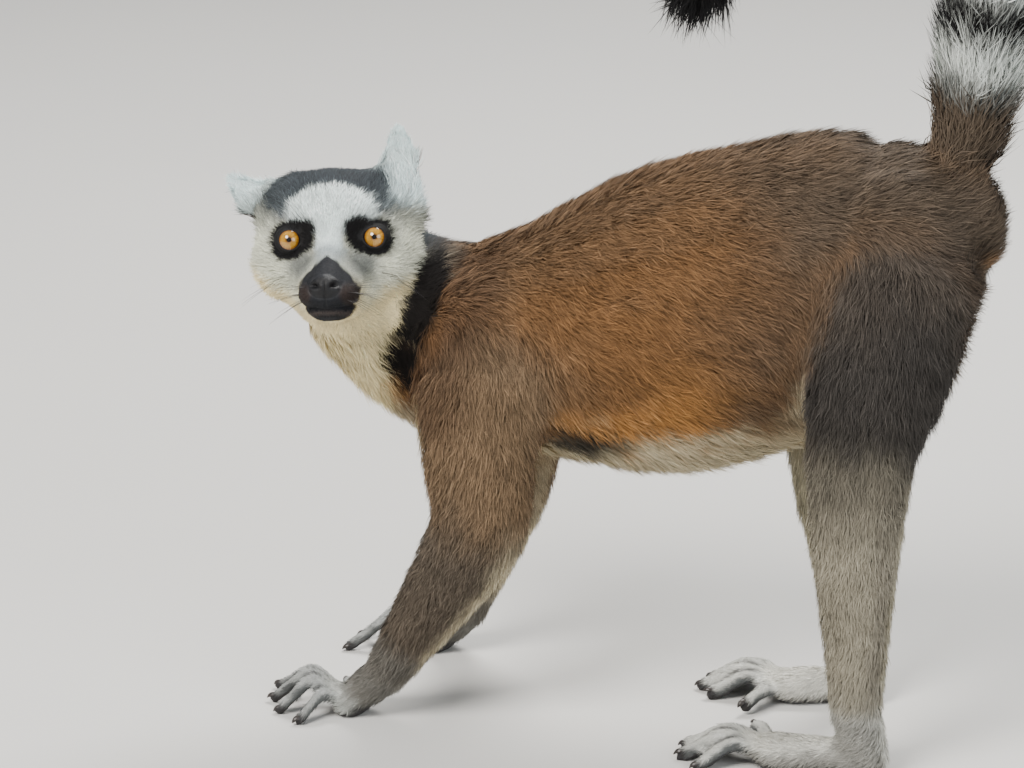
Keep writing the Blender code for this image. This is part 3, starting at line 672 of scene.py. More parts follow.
# The tail: grey at the root, then pairs of a white and a black ring, and a black tip.
TAIL_FIRST, TAIL_PAIR, TAIL_DARK, TAIL_TIP = 0.045, 0.0415, 0.54, 0.028
nearest = np.full(len(points), 1e9)
tail_place = np.zeros(len(points))
walked = 0.0
for start, end in zip(tail_joints, tail_joints[1:]):
    along, away = from_run(painted, start, end)
    closer = away < nearest
    nearest = np.where(closer, away, nearest)
    tail_place = np.where(closer, walked + along * np.linalg.norm(end - start), tail_place)
    walked += np.linalg.norm(end - start)
on_tail = share_of("tail", rounds=3)
pair = (tail_place - TAIL_FIRST + 0.0012 * uneven) / TAIL_PAIR
within = pair % 1
dark = ease(1 - TAIL_DARK - 0.04, 1 - TAIL_DARK + 0.04, within) * ease(1.0, 0.96, within)
dark = np.where(tail_place > walked - TAIL_TIP, 1, dark)
banded = on_tail * ease(-0.25, -0.05, pair)
paint(RUMP_GREY, on_tail)
paint(WHITE, banded)
paint(BLACK, banded * dark)

# The head: white cheeks running to cream below, and a slate cap that darkens on the crown.
head = spread(on_head, edges, 4)
low_head = ease(-0.5, -1.5, z)
paint(ORANGE_BROWN, head * low_head)
white_head = head * np.maximum(1 - low_head, ease(0.015, 0.009, behind))
paint(CHEEK_WHITE, white_head * np.maximum(ease(2.6, 1.6, y), low_head))
paint(CREAM_WHITE, white_head * ease(-2.0, -4.0, z + 0.25 * y))
upper = ease(-2.6, 0.4, z + fringe)
sides = (off - 2.5).clip(0, 1.5)
cap_height = z + 0.30 * y.clip(0, 3) - 0.10 * sides + fringe
crown = ease(0.75 - 0.5 * sides, 1.35 + 1.2 * sides, cap_height)
paint(SLATE, head * np.maximum(crown, ease(1.5, 2.6, y) * upper))
paint(NAPE_GREY, head * far_side * ease(1.8, 4.5, y + fringe) * ease(-3.6, -0.6, z + 2 * fringe))
dark_cap = crown * ease(3.4, 1.8, np.hypot(x, 0.5 * y)) * ease(1.8, 2.8, z) * ease(3.5, 1.5, y)
paint(DARK_SLATE, 0.8 * head * dark_cap)

# The face: a white arch over the brow, run down between the eyes, and black patches about the
# eyes that fade towards the cheeks, with a grey smear of painted shade below their inner corners.
PATCH_ACROSS, PATCH_WIDE, PATCH_ABOVE, PATCH_BELOW = 1.88, 1.24, 1.02, 0.98
arch_top = 2.66 - 0.17 * x**2
forehead = ease(0.25, -0.15, z - arch_top + fringe) * ease(2.5, 2.0, off + fringe) * (z > 0.2)
paint(FACE_WHITE, head * forehead * (y < 1.5))
bridge = ease(0.85, 0.55, off + fringe) * ease(-1.2, -0.4, z) * ease(1.4, 0.9, z)
paint(FACE_WHITE, head * bridge * (y < 1))
patch = (off - PATCH_ACROSS) / PATCH_WIDE
inner_share = np.clip(-patch, 0, 1)
tall = z - 0.20 * inner_share
tall = tall / np.where(tall > 0, PATCH_ABOVE, PATCH_BELOW - 0.20 * inner_share)
eye_patch = ease(1.12, 0.86, (np.abs(patch) ** 3 + np.abs(tall) ** 3) ** (1 / 3) + 0.5 * fringe) * (y < 1.5)
haze = disc(off, z, (2.0, 0.35), (1.35, 1.15), 0.45) * (y < 1.5)
paint(BROW_GREY, 0.42 * head * haze)
paint(BLACK, head * eye_patch)
# Painted shade: a grey smear below the inner corner of each eye, down beside the muzzle.
shade_smear = disc(off, z, (1.48, -1.22), (0.78, 0.86), 0.6) * (y < 1) * (1 - eye_patch)
paint(SMEAR_SHADE_GREY, 0.78 * head * shade_smear)

# The snout: black, narrow between the eyes, widest at the whisker pads and drawn in at the chin, with a
# painted bluish highlight on its bridge.
SNOUT_DOWN = (0.80, 1.4, 1.76, 2.1, 2.45, 3.15, 3.6, 4.0, 4.25)
SNOUT_HALF = (-0.15, 0.6, 0.97, 1.28, 1.44, 1.56, 1.42, 0.95, 0.5)
wide = np.interp(-z, SNOUT_DOWN, SNOUT_HALF)
snout = ease(0.14, -0.10, off - wide + 0.8 * fringe) * ease(-1.2, -1.7, y) * (z > -4.2)
# Painted highlight: a bluish grey on the bridge of the snout between the eyes.
paint(BRIDGE_HIGHLIGHT_BLUE, 0.75 * head * disc(x, z, (0, -0.95), (0.75, 0.60), 0.5) * (y < -1))
paint(SNOUT_BLACK, head * snout)
paint(WHISKER_PAD_BROWN, 0.8 * disc(off, z, (1.12, -2.85), (0.42, 0.50), 0.4) * snout)
lip_edge = np.exp(-(((z + 3.72) / 0.10) ** 2)) * snout * ease(1.5, 1.2, off)
paint(LIP_BROWN, 0.6 * lip_edge)

# The ears, and the long hair about their roots: white.
ear_hair = head * ease(2.5, 3.2, x + fringe) * ease(1.2, 2.2, z + fringe) * ease(3.5, 2.5, y)
paint(EAR_WHITE, 0.85 * ear_hair)
for side, sign in (("left", 1), ("right", -1)):
    root, tip = runs["ear_" + side]
    from_ear = from_run(points, root - 0.35 * (tip - root), tip)[1]
    from_root = in_head(points) - in_head(root)
    beyond = np.maximum(ease(-0.5, 0.3, from_root[:, 1]), ease(-0.2, 0.4, sign * from_root[:, 0]))
    paint(EAR_WHITE, head * ease(0.013, 0.009, from_ear + 0.0006 * uneven) * beyond)
paint(EAR_WHITE, share_of("ear"))

# The neck: a cream throat, grey nape and a black band of dark underfur and painted shade, with the shoulder
# browner behind it.
neck_zone = np.maximum(share_of("neck", "chest"), on_head * ease(0.3, 1.2, y))
throat = neck_zone * ease(-0.005, -0.009, behind) * ease(0.62, 0.25, up) * ease(0.040, 0.030, above_joint)
throat *= 1 - far_side * (1 - ease(0.034, -0.004, above_joint + 0.003 * uneven))
paint(NAPE_GREY, neck_zone * far_side * ease(0.004, -0.004, behind) * ease(-0.010, 0.020, above_joint))
paint(CREAM_WHITE, throat)
# The black band is dark underfur and painted shade on the side of the neck, between the throat and the
# shoulder.
underfur_and_shade_band = ease(0.0145, 0.0095, np.abs(behind - 0.004)) * ease(0.046, 0.038, above_joint)
underfur_and_shade_band = underfur_and_shade_band * ease(-0.024, -0.016, above_joint + 0.5 * behind)
neck_underfur_and_shade = underfur_and_shade_band * neck_zone * ease(-0.1, 0.35, outer)
paint(NECK_UNDERFUR_AND_SHADE, neck_underfur_and_shade)
shoulder = share_of("chest", "neck", "upper_foreleg", "head") * ease(0.034, 0.014, np.abs(behind - 0.018))
shoulder = shoulder * ease(-0.050, -0.034, above_joint) * ease(0.1, 0.5, outer)
paint(SHOULDER_BROWN, 0.60 * shoulder * (1 - neck_underfur_and_shade) * ease(0, 0.006, behind))

# How far the coat is ticked with dark and pale tips, and where the skin is bare.
foreleg = share_of("lower_foreleg", "upper_foreleg")
grizzle = 0.30 + 0.45 * trunk * (1 - under) + 0.45 * foreleg + 0.35 * thigh
grizzle = np.where(on_head, 0.15 + 0.35 * crown, grizzle) * (1 - 0.8 * throat) * (1 - on_tail * banded)
grizzle = grizzle * (1 - 0.6 * share_of("shank")) * (1 - 0.6 * paw) * (1 - 0.9 * neck_underfur_and_shade)
bare = np.maximum(np.maximum(pad, 0.6 * lid_rim), snout * on("nose"))
nose_pad = disc(x, z, (0, -2.52), (0.76, 0.48), 0.22) * ease(-2.6, -3.0, y)
bare = np.maximum(bare, nose_pad)
paint(NOSE_BLACK, nose_pad)


def set_colours(mesh, name, values):
    attribute = mesh.attributes.new(name, "FLOAT_COLOR", "POINT")
    rows = np.ones((len(values), 4), np.float32)
    rows[:, :3] = values
    attribute.data.foreach_set("color", rows.ravel())


def set_numbers(mesh, name, values):
    attribute = mesh.attributes.new(name, "FLOAT", "POINT")
    attribute.data.foreach_set("value", np.asarray(values, np.float32))


def material_of(name, roughness, specular=0.4):
    """A new material, its shader and its node tree's maker and joiner."""
    material = bpy.data.materials.new(name)
    material.use_nodes = True
    tree = material.node_tree
    shader = tree.nodes["Principled BSDF"]
    shader.inputs["Roughness"].default_value = roughness
    shader.inputs["Specular IOR Level"].default_value = specular
    return material, shader, tree.nodes.new, tree.links.new


def attribute_of(new, name):
    node = new("ShaderNodeAttribute")
    node.attribute_name = name
    return node


def mixed(new, link, kind, share, first, second):
    """A colour Mix node; each input is a socket or a colour."""
    node = new("ShaderNodeMix")
    node.data_type = "RGBA"
    node.blend_type = kind
    node.clamp_factor = True
    for socket, value in ((node.inputs[0], share), (node.inputs[6], first), (node.inputs[7], second)):
        if isinstance(value, bpy.types.NodeSocket):
            link(value, socket)
        else:
            socket.default_value = value
    return node.outputs[2]


def grain_of(new, link, scale, detail=2, kind="Noise", output="Fac"):
    """Grain fixed to the object, this many lumps to the metre."""
    grain = new("ShaderNodeTex" + kind)
    grain.inputs["Scale"].default_value = scale
    grain.inputs["Detail"].default_value = detail
    link(new("ShaderNodeTexCoord").outputs["Object"], grain.inputs["Vector"])
    return grain.outputs[output]


def ranged(new, link, value, low, high, span=(0, 1)):
    """A value carried from its span to lie between low and high."""
    node = new("ShaderNodeMapRange")
    for socket, number in zip(("From Min", "From Max", "To Min", "To Max"), (*span, low, high)):
        node.inputs[socket].default_value = number
    link(value, node.inputs["Value"])
    return node.outputs["Result"]


set_colours(skin.data, "markings", colour)
set_numbers(skin.data, "bare", np.clip(bare, 0, 1))
for polygon in skin.data.polygons:
    polygon.use_smooth = True
hide, shader, new, link = material_of("hide", 0.75, 0.3)
grain = grain_of(new, link, 900, 3)
markings = attribute_of(new, "markings").outputs["Color"]
base = mixed(new, link, "MULTIPLY", 1.0, markings, ranged(new, link, grain, 0.55, 1.25))
link(base, shader.inputs["Base Color"])
bareness = attribute_of(new, "bare").outputs["Fac"]
link(ranged(new, link, bareness, 0.82, 0.52), shader.inputs["Roughness"])
relief = new("ShaderNodeMix")
link(bareness, relief.inputs[0])
link(grain, relief.inputs[2])
link(grain_of(new, link, 1500, 0, "Voronoi", "Distance"), relief.inputs[3])
bump = new("ShaderNodeBump")
bump.inputs["Strength"].default_value = 0.35
bump.inputs["Distance"].default_value = 0.0006
link(relief.outputs[0], bump.inputs["Height"])
link(bump.outputs["Normal"], shader.inputs["Normal"])
skin.data.materials.clear()
skin.data.materials.append(hide)
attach(skin, "root")
flesh = [name for name in names if not name.startswith("eye")]
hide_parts(*flesh)


# ---------------------------------------------------------------- eyes
# Glass eyes of golden orange with a thin dark rim to the iris and a small round pupil, the
# cornea standing a little proud.  Both are set in the lids and look the same way.

IRIS_RADIUS = 0.0050
CORNEA_RADIUS = IRIS_RADIUS * 1.15
CORNEA_RISE = 0.0007
MAP_SPAN = 0.020


def turned_to(direction, raised=Vector((0, 0, 1))):
    """A rotation that carries +Z to this direction, with +Y as near as can be to raised."""
    back = Vector(direction).normalized()
    side = raised.cross(back).normalized()
    return Matrix((side, back.cross(side), back)).transposed()


def placed(name, mesh, material):
    """A smooth object at the origin, of one material."""
    mesh.polygons.foreach_set("use_smooth", np.ones(len(mesh.polygons), bool))
    mesh.materials.append(material)
    item = bpy.data.objects.new(name, mesh)
    bpy.context.scene.collection.objects.link(item)
    return item


def new_piece(name, shape, material):
    """A finished object at the origin from a bmesh, riding on the body."""
    bmesh.ops.recalc_face_normals(shape, faces=shape.faces)
    mesh = bpy.data.meshes.new(name)
    shape.to_mesh(mesh)
    shape.free()
    piece = placed(name, mesh, material)
    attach(piece, "root")
    return piece


glass, shader, new, link = material_of("glass_eye", 0.08, 0.5)
shader.inputs["Coat Weight"].default_value = 1.0
shader.inputs["Coat Roughness"].default_value = 0.02
face = new("ShaderNodeUVMap")
face.uv_map = "across"
offset = new("ShaderNodeVectorMath")
offset.operation = "SUBTRACT"
offset.inputs[1].default_value = (0.5, 0.5, 0)
link(face.outputs["UV"], offset.inputs[0])
radius = new("ShaderNodeVectorMath")
radius.operation = "LENGTH"
link(offset.outputs["Vector"], radius.inputs[0])
away = new("ShaderNodeMath")
away.operation = "MULTIPLY"
away.inputs[1].default_value = MAP_SPAN / IRIS_RADIUS
link(radius.outputs["Value"], away.inputs[0])
ray = new("ShaderNodeVectorMath")
ray.operation = "NORMALIZE"
link(offset.outputs["Vector"], ray.inputs[0])
fibres = new("ShaderNodeTexNoise")
fibres.inputs["Scale"].default_value = 9
fibres.inputs["Detail"].default_value = 4
link(ray.outputs["Vector"], fibres.inputs["Vector"])
rings = new("ShaderNodeValToRGB")
stops = (
    (0.00, (0.002, 0.002, 0.002, 1)),
    (0.215, (0.002, 0.002, 0.002, 1)),
    (0.25, (0.14, 0.050, 0.004, 1)),
    (0.42, (0.38, 0.185, 0.014, 1)),
    (0.72, (0.44, 0.225, 0.020, 1)),
    (0.90, (0.27, 0.105, 0.008, 1)),
    (0.985, (0.03, 0.014, 0.006, 1)),
    (1.0, (0.006, 0.005, 0.005, 1)),
)
for index, (position, value) in enumerate(stops):
    stop = rings.color_ramp.elements[index] if index < 2 else rings.color_ramp.elements.new(position)
    stop.position, stop.color = position, value
link(away.outputs["Value"], rings.inputs["Fac"])
streaks = ranged(new, link, fibres.outputs["Fac"], 0.62, 1.25, (0.3, 0.7))
link(mixed(new, link, "MULTIPLY", 1.0, rings.outputs["Color"], streaks), shader.inputs["Base Color"])
for side in ("left", "right"):
    radius_here = EYE_RADIUS - 0.0001
    ball = bmesh.new()
    bmesh.ops.create_uvsphere(ball, u_segments=64, v_segments=48, radius=radius_here)
    across_map = ball.loops.layers.uv.new("across")
    for vertex in ball.verts:
        out = math.hypot(vertex.co.x, vertex.co.y)
        if vertex.co.z > 0 and out < CORNEA_RADIUS:
            vertex.co.z += CORNEA_RISE * (1 - (out / CORNEA_RADIUS) ** 2)
    for facet in ball.faces:
        for loop in facet.loops:
            spot = loop.vert.co
            out = math.hypot(spot.x, spot.y)
            out = out if spot.z > 0 else 2 * radius_here - out
            share = out / max(math.hypot(spot.x, spot.y), 1e-9)
            loop[across_map].uv = (0.5 + spot.x * share / MAP_SPAN, 0.5 + spot.y * share / MAP_SPAN)
    seat = Matrix.Translation(Vector(eyes[side])) @ turned_to(to_viewer).to_4x4()
    bmesh.ops.transform(ball, matrix=seat, verts=ball.verts)
    eye = new_piece("glass_eye_" + side, ball, glass)
    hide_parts("eye_" + side)


# ---------------------------------------------------------------- coat
# The fur, in tufts of a few dozen hairs each, set root by root in the skin and combed the way
# it lies in life: back from the nose, along the body and the tail, and down the limbs.

skin.data.calc_loop_triangles()
facets = rows_of(skin.data.loop_triangles, "vertices", 3, np.int32)
corners_at = points[facets]
facet_areas = np.linalg.norm(
    np.cross(corners_at[:, 1] - corners_at[:, 0], corners_at[:, 2] - corners_at[:, 0]), axis=1
) / 2
thin = np.clip(1 - bare, 0, 1) * (1 - np.clip(eye_hole, 0, 1))
thin *= np.where(on_head & (lid_rim > 0.2), 0, 1)
wanted = facet_areas * 1e4 * (density * thin)[facets].mean(axis=1)
facet_kind = of_kind[label[facets[:, 0]]]
facet_label = label[facets[:, 0]]
# A tuft's stations from root to tip and its width at each, as shares.
LONG_TUFT = (np.array([0.0, 0.36, 0.70, 1.0]), np.array([0.80, 1.0, 0.68, 0.0]))
SHORT_TUFT = (np.array([0.0, 0.52, 1.0]), np.array([0.90, 0.90, 0.0]))
PATCH = 0.003
LENGTHS, LIFTS, WIDTHS = (0.66, 1.16), (0.70, 1.30), (0.75, 1.20)
STRAY, LOCK_TURN, DRIFT = math.radians(17), math.radians(8), math.radians(7)
TIP_LIFT, TIP_DROP, TIP_SWAY, KINK = 0.35, 0.10, 0.16, 0.035
ROOT_DEPTH, FLOOR_GAP = 0.0004, 0.0003
TWIST = 0.8
ROOT_TONE, MIDDLE_TONE, TIP_TONE = 0.64, 0.94, 1.12
DARK_TICKS, DARK_BY = 0.30, 0.60
PALE_TICKS, PALE_BY = 0.20, 0.75


def unwrapped(where, labels, used):
    """Each root's place on a flat layout: a cell for each node, rolled out about its own run."""
    columns = math.ceil(math.sqrt(len(used)))
    places = np.zeros((len(where), 2))
    for order, index in enumerate(used):
        mine = labels == index
        name = names[index]
        start, end = np.array(runs[name][0]), np.array(runs[name][1])
        if kind(name) in ("head", "muzzle", "lower_jaw", "nose", "eye"):
            start, end = eyes_middle + forward * -0.01, eyes_middle + forward * -0.05
        axis = unit(end - start)
        side = unit(np.cross(axis, (0.31, 0.17, 0.93)))
        other = np.cross(axis, side)
        arm = where[mine] - start
        height = arm @ axis
        angle = np.arctan2(arm @ other, arm @ side)
        reach = np.hypot(arm @ other, arm @ side)
        spot = height + (0.4 * reach if kind(name) in ("head", "muzzle") else 0)
        low, high = spot.min() - 1e-6, spot.max() + 1e-6
        inside = np.column_stack([angle / (2 * math.pi) + 0.5, (spot - low) / (high - low)])
        cell = np.array([order % columns, order // columns])
        places[mine] = (cell + 0.02 + 0.96 * inside) / columns
    return places * (1 - 2 * PATCH) + PATCH


def coat_piece(name, kinds_in, tuft=SHORT_TUFT, lock=12, pull=0.30, where=True):
    """One piece of the coat over these kinds of node: tufts drawn together at the tips in locks."""
    steps, widths = tuft
    rings = len(steps)
    chosen = np.flatnonzero(np.isin(facet_kind, kinds_in) & where)
    heap = np.cumsum(wanted[chosen])
    count = int(heap[-1])
    picks = (np.arange(count) + random.random(count)) / count * heap[-1]
    here = chosen[np.minimum(np.searchsorted(heap, picks), len(chosen) - 1)]
    a, b = random.random((2, count))
    flip = a + b > 1
    a, b = np.where(flip, 1 - a, a), np.where(flip, 1 - b, b)
    weights = np.column_stack([1 - a - b, a, b])[:, :, None]

    def at(values):
        values = values[:, None] if values.ndim == 1 else values
        return (values[facets[here]] * weights).sum(axis=1)

    root = at(points)
    normal = unit(at(skin_normals))
    way = at(lie)
    way = unit(way - normal * (way * normal).sum(axis=1, keepdims=True))
    bend = STRAY * random.normal(size=count) + LOCK_TURN * waves(root, 0.016, 11)
    bend = bend + DRIFT * waves(root, 0.04, 15)
    sideways = np.cross(normal, way)
    way = way * np.cos(bend)[:, None] + sideways * np.sin(bend)[:, None]
    sideways = np.cross(normal, way)
    long = at(length)[:, 0] * random.uniform(*LENGTHS, count) * (1 + 0.12 * waves(root, 0.012, 12))
    rise = at(lift)[:, 0] * random.uniform(*LIFTS, count) + math.radians(5) * waves(root, 0.014, 13)
    rise = np.clip(rise, 0.10, 1.2)
    broad_here = at(width)[:, 0] * random.uniform(*WIDTHS, count)
    first = way * np.cos(rise)[:, None] + normal * np.sin(rise)[:, None]
    last = way * np.cos(TIP_LIFT * rise)[:, None] + normal * np.sin(TIP_LIFT * rise)[:, None]
    last[:, 2] -= TIP_DROP
    last += sideways * (TIP_SWAY * random.normal(size=count))[:, None]
    t = steps[None, :, None]
    centre = root[:, None] + long[:, None, None] * (t * first[:, None] + t**2 / 2 * (last - first)[:, None])
    kink = random.normal(size=(count, 1, 1)) * np.sin(math.pi * 1.6 * t)
    centre = centre + sideways[:, None] * kink * KINK * long[:, None, None]

    seeds = random.permutation(count)[: math.ceil(count / lock)]
    tree = KDTree(len(seeds))
    for position, seed in enumerate(seeds.tolist()):
        tree.insert(root[seed], position)
    tree.balance()
    nearest = np.array([seeds[tree.find(spot)[1]] for spot in root.tolist()])
    hold = pull * random.uniform(0.3, 1.3, count)[:, None, None] * steps[None, :, None] ** 1.4
    apart = centre[nearest] - centre
    centre = centre + apart * np.clip(hold, 0, 0.9)
    centre[:, 0] = root - normal * ROOT_DEPTH

    twist = random.uniform(-TWIST, TWIST, count)[:, None]
    flat = sideways * np.cos(twist) + normal * np.sin(twist)
    half = 0.5 * broad_here[:, None, None] * widths[None, :, None] * flat[:, None]
    both = np.stack([centre - half, centre + half], axis=2)
    shape = both.reshape(count, 2 * rings, 3)[:, :-1]
    shape[:, :, 2] = np.maximum(shape[:, :, 2], FLOOR_GAP)
    corner_count = 2 * rings - 1
    blade = np.cross(unit(centre[:, -1] - centre[:, 0]), flat)
    blade *= np.sign((blade * normal).sum(axis=1, keepdims=True) + 1e-9)
    shading = np.repeat(unit(0.78 * normal + 0.22 * blade)[:, None], corner_count, axis=1)

    tint = at(colour)
    rough = at(grizzle)[:, 0]
    tint = tint * (1 + 0.15 * random.normal(size=count) * (0.4 + rough)).clip(0.4, 1.7)[:, None]
    tint = tint * (1 + 0.09 * waves(root, 0.02, 14) + 0.07 * waves(root, 0.007, 16))[:, None]
    step_of = np.repeat(steps, 2)[:-1]
    tone = np.interp(step_of, (0.0, 0.45, 1.0), (ROOT_TONE, MIDDLE_TONE, TIP_TONE))[None, :]
    tone = tone + (1 - tone) * 0.7 * np.clip(tint.mean(axis=1) / 0.6, 0, 1)[:, None]
    shade = tint[:, None] * tone[:, :, None]
    chance = random.random(count)
    outer_half = ease(0.3, 0.75, step_of)[None, :, None]
    ticked = (chance < DARK_TICKS * rough)[:, None, None] * outer_half
    shade = shade * (1 - DARK_BY * ticked)
    pale = (chance > 1 - PALE_TICKS * rough)[:, None, None] * outer_half
    shade = shade * (1 + PALE_BY * pale)

    mesh = bpy.data.meshes.new(name)
    mesh.vertices.add(count * corner_count)
    mesh.vertices.foreach_set("co", shape.astype(np.float32).ravel())
    pattern, begins = [], []
    for low in range(0, 2 * rings - 2, 2):
        begins.append(len(pattern))
        pattern += [low, low + 2, low + 3, low + 1]
    pattern.remove(corner_count)  # the tip is one point, so the last face has three
    loops = (np.arange(count)[:, None] * corner_count + np.array(pattern)).ravel()
    mesh.loops.add(len(loops))
    mesh.loops.foreach_set("vertex_index", loops.astype(np.int32))
    mesh.polygons.add(count * len(begins))
    begins = (np.arange(count)[:, None] * len(pattern) + np.array(begins)).ravel()
    mesh.polygons.foreach_set("loop_start", begins.astype(np.int32))
    mesh.update(calc_edges=True)
    piece = placed(name, mesh, fur)
    used = sorted(set(facet_label[here].tolist()))
    flat_places = unwrapped(root, facet_label[here], used)
    edge_of = np.where(np.arange(corner_count) % 2, 1.0, -1.0)
    edge_of[-1] = 0
    offsets = np.column_stack([edge_of, 2 * step_of - 1]) * PATCH / 2
    layer = mesh.uv_layers.new(name="OFBake")
    spots = (flat_places[:, None] + offsets[None]).reshape(-1, 2)[loops]
    layer.data.foreach_set("uv", spots.astype(np.float32).ravel())
    set_colours(mesh, "markings", shade.reshape(-1, 3).clip(0, 1))
    mesh.normals_split_custom_set_from_vertices(shading.reshape(-1, 3).astype(np.float32))
    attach(piece, "root")


fur, shader, new, link = material_of("fur", 0.78, 0.18)
shader.inputs["Sheen Weight"].default_value = 0.03
shader.inputs["Sheen Roughness"].default_value = 0.45
markings = attribute_of(new, "markings").outputs["Color"]
strands = ranged(new, link, grain_of(new, link, 1400), 0.72, 1.25)
link(mixed(new, link, "MULTIPLY", 1.0, markings, strands), shader.inputs["Base Color"])
facet_front = in_head(points[facets].mean(axis=1))[:, 1] < 1.2
FACE = ["head", "eye", "muzzle", "lower_jaw", "nose"]
coat_piece("coat_face", FACE, lock=8, pull=0.25, where=facet_front)
coat_piece("coat_head", FACE, lock=9, pull=0.3, where=~facet_front)
coat_piece("coat_ears", ["ear"], LONG_TUFT, lock=7, pull=0.25)
coat_piece("coat_neck", ["neck"])
coat_piece("coat_chest", ["chest"], lock=16)
coat_piece("coat_belly", ["belly"], lock=16)
coat_piece("coat_rump", ["rump"], lock=16)
coat_piece("coat_thighs", ["thigh"], lock=16)
coat_piece("coat_shanks", ["shank"])
coat_piece("coat_upper_forelegs", ["upper_foreleg"])
coat_piece("coat_lower_forelegs", ["lower_foreleg"])
coat_piece("coat_hands", ["hand", "foot", "digit"], lock=7, pull=0.25)
coat_piece("coat_tail", ["tail"], lock=14, pull=0.4)


# ---------------------------------------------------------------- nails
# The narrow dark nails of the twenty fingers and toes, keeled on top and curved down to a
# blunt point past the pad.  The second toe of each foot has the upright claw for grooming.

NAIL_LENGTH, NAIL_WIDTH, NAIL_DEPTH = 0.0062, 0.0036, 0.0018
NAIL_KEEL, NAIL_HOOK, NAIL_SETBACK = 0.0006, 0.0016, 0.0002
NAIL_PITCH, NAIL_HEIGHT = math.radians(16), 0.0020
CLAW_PITCH, CLAW_HEIGHT = math.radians(-8), 0.0030
horn, shader, new, link = material_of("horn", 0.32, 0.5)
growth = grain_of(new, link, 700)
layers = mixed(new, link, "MIX", growth, (0.012, 0.010, 0.010, 1), (0.055, 0.046, 0.042, 1))
link(layers, shader.inputs["Base Color"])
nails = bmesh.new()
for digit_names in digits.values():
    for name in digit_names:
        root, tip = (Vector(place) for place in runs[name])
        way = tip - root
        way.z = 0
        way.normalize()
        claw = name.endswith("second")
        pitch = Matrix.Rotation(CLAW_PITCH if claw else NAIL_PITCH, 3, "X")
        side = Vector((way.y, -way.x, 0))
        seat = tip - way * NAIL_SETBACK + Vector((0, 0, CLAW_HEIGHT if claw else NAIL_HEIGHT))
        made = bmesh.ops.create_uvsphere(nails, u_segments=14, v_segments=10, radius=1)["verts"]
        for vertex in made:
            x, y, z = vertex.co
            taper = 1 - 0.45 * max(y, 0) ** 1.5
            point = Vector((x * NAIL_WIDTH / 2 * taper, y * NAIL_LENGTH / 2, z * NAIL_DEPTH / 2))
            point.z += NAIL_KEEL * (1 - x * x) - NAIL_HOOK * max(y, 0) ** 2
            point = pitch.inverted() @ point
            vertex.co = seat + side * point.x + way * point.y + Vector((0, 0, point.z))
nail_piece = new_piece("nails", nails, horn)


# ---------------------------------------------------------------- whiskers
# Stiff dark whiskers of the upper lip, the cheeks and the brows, thick at the root and
# drawn out to nothing.

WHISKER_RADIUS, WHISKER_STEPS = 0.00013, 5
bristle, shader, new, link = material_of("bristle", 0.45, 0.4)
tone = mixed(new, link, "MIX", grain_of(new, link, 60), (0.010, 0.009, 0.009, 1), (0.045, 0.040, 0.038, 1))
link(tone, shader.inputs["Base Color"])
hide_tree = BVHTree.FromPolygons([Vector(point) for point in points], facets.tolist())
whiskers = bmesh.new()


def whisker(spot, heading, reach, droop):
    """One whisker from the skin nearest to a spot in the head's axes."""
    out = Vector(np.array(heading) @ head_axes)
    start = Vector(eyes_middle + np.array(spot) / 100 @ head_axes)
    found = hide_tree.find_nearest(start)
    start, normal = found[0], found[1]
    way = (out.normalized() + normal * 0.45).normalized()
    rings = []
    for step in range(WHISKER_STEPS + 1):
        share = step / WHISKER_STEPS
        centre = start + way * (reach * share) + Vector((0, 0, -droop * share**2))
        side = way.cross(Vector((0, 0, 1))).normalized()
        top = side.cross(way)
        radius = WHISKER_RADIUS * (1 - 0.9 * share)
        ring = []
        for corner in range(4):
            turn = corner * math.pi / 2
            ring.append(whiskers.verts.new(centre + (side * math.cos(turn) + top * math.sin(turn)) * radius))
        rings.append(ring)
    for near, far in zip(rings, rings[1:]):
        for corner in range(4):
            after = (corner + 1) % 4
            whiskers.faces.new((near[corner], near[after], far[after], far[corner]))
    whiskers.faces.new(rings[0])
    whiskers.faces.new(rings[-1])


# On each side three rows of four on the lip, five on the cheek and three over the eye.
for sign in (1, -1):
    for row in range(3):
        for column in range(4):
            spot = (sign * (0.95 + 0.13 * column), -3.3 + 0.32 * column, -2.55 - 0.26 * row)
            heading = (sign, 0.55 + 0.20 * column, 0.12 - 0.18 * row)
            whisker(spot, heading, random.uniform(0.012, 0.024), random.uniform(0.001, 0.005))
    for number in range(5):
        spot = (sign * (2.5 + 0.22 * number), -0.3 + 0.2 * number, -1.9 - 0.12 * number)
        whisker(spot, (sign, 0.1, -0.10 * number), random.uniform(0.012, 0.020), 0.003)
    for number in range(3):
        spot = (sign * (1.2 + 0.25 * number), -0.6, 1.0)
        whisker(spot, (sign * 0.5, -0.5, 1), random.uniform(0.010, 0.016), 0.0)
whisker_piece = new_piece("whiskers", whiskers, bristle)


# ---------------------------------------------------------------- floor, light and camera
# A plain pale floor that curves up to a wall all round, lit softly by three round lamps: one from
# the viewer's left and above, a weak one from the right and one from behind.

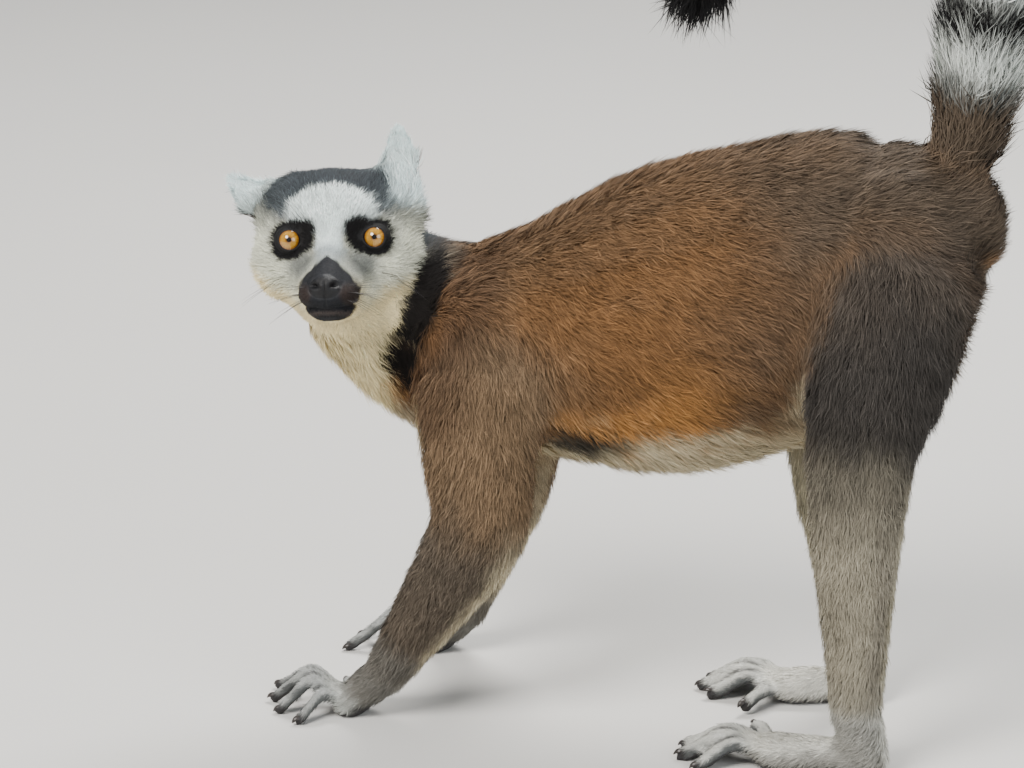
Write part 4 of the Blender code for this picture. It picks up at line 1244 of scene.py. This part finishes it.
FLOOR_RADIUS, SWEEP_RADIUS, WALL_TOP = 4.5, 1.0, 3.0
stage = bmesh.new()
profile = [(0.0, 0.0), (FLOOR_RADIUS, 0.0)]
for step in range(1, 13):
    turn = step / 12 * math.pi / 2
    profile.append((FLOOR_RADIUS + SWEEP_RADIUS * math.sin(turn), SWEEP_RADIUS * (1 - math.cos(turn))))
profile.append((FLOOR_RADIUS + SWEEP_RADIUS, WALL_TOP))
line = [stage.verts.new((reach, 0, height)) for reach, height in profile]
rim = [stage.edges.new(pair) for pair in zip(line, line[1:])]
bmesh.ops.spin(
    stage, geom=line + rim, cent=(0, 0, 0), axis=(0, 0, 1), angle=2 * math.pi, steps=96, use_merge=True
)
bmesh.ops.remove_doubles(stage, verts=stage.verts, dist=1e-5)
bmesh.ops.recalc_face_normals(stage, faces=stage.faces)
if max(stage.faces, key=lambda facet: facet.calc_area()).normal.z < 0:
    bmesh.ops.reverse_faces(stage, faces=stage.faces)
mesh = bpy.data.meshes.new("studio_floor")
stage.to_mesh(mesh)
stage.free()
paper, shader, new, link = material_of("paper", 0.9, 0.2)
fleck = mixed(new, link, "MIX", grain_of(new, link, 3), (0.62, 0.61, 0.585, 1), (0.66, 0.65, 0.625, 1))
link(fleck, shader.inputs["Base Color"])
floor = placed("studio_floor", mesh, paper)
floor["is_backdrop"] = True


# Each light's place from the middle, towards the viewer, to the viewer's right and up, then its
# width, power and tint.
LIGHTS = {
    "key": ((1.3, -1.1, 1.7), 1.1, 84, (1.0, 0.97, 0.93)),
    "fill": ((1.6, 1.5, 0.8), 1.6, 28, (0.93, 0.97, 1.0)),
    "rim": ((-1.0, 0.4, 1.6), 0.9, 52, (1.0, 0.98, 0.95)),
}
AIM_HEIGHT = 0.2
low, high = (np.array(corner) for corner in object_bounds())
aim = Vector((low + high) / 2)
aim.z = AIM_HEIGHT
toward = Vector((to_viewer[0], to_viewer[1], 0)).normalized()
viewer_right = Vector((math.cos(VIEW_TURN), math.sin(VIEW_TURN), 0))
for name, ((near, right, height), wide, power, tint) in LIGHTS.items():
    light = bpy.data.lights.new(name, "AREA")
    light.shape = "DISK"
    light.size = wide
    light.energy = power
    light.color = tint
    item = bpy.data.objects.new(name, light)
    item.location = aim + toward * near + viewer_right * right + Vector((0, 0, height))
    item.rotation_euler = turned_to(item.location - aim).to_euler()
    bpy.context.scene.collection.objects.link(item)
world = bpy.data.worlds.new("studio")
world.use_nodes = True
world.node_tree.nodes["Background"].inputs["Color"].default_value = (0.9, 0.94, 1.0, 1)
world.node_tree.nodes["Background"].inputs["Strength"].default_value = 0.45
bpy.context.scene.world = world

# The camera looks at a spot set off from between the eyes.
LOOK_FROM_EYES = (-0.0400, 0.0802, -0.0801)
CAMERA_AWAY, CAMERA_LENS = 2.0, 140.6
target = Vector(eyes_middle) + Vector(LOOK_FROM_EYES)
lens = bpy.data.cameras.new("camera")
lens.lens = CAMERA_LENS
lens.sensor_width = 36
lens.clip_end = 20
camera = bpy.data.objects.new("camera", lens)
camera.location = target + Vector(to_viewer) * CAMERA_AWAY
camera.rotation_euler = turned_to(to_viewer).to_euler()
bpy.context.scene.collection.objects.link(camera)
bpy.context.scene.camera = camera
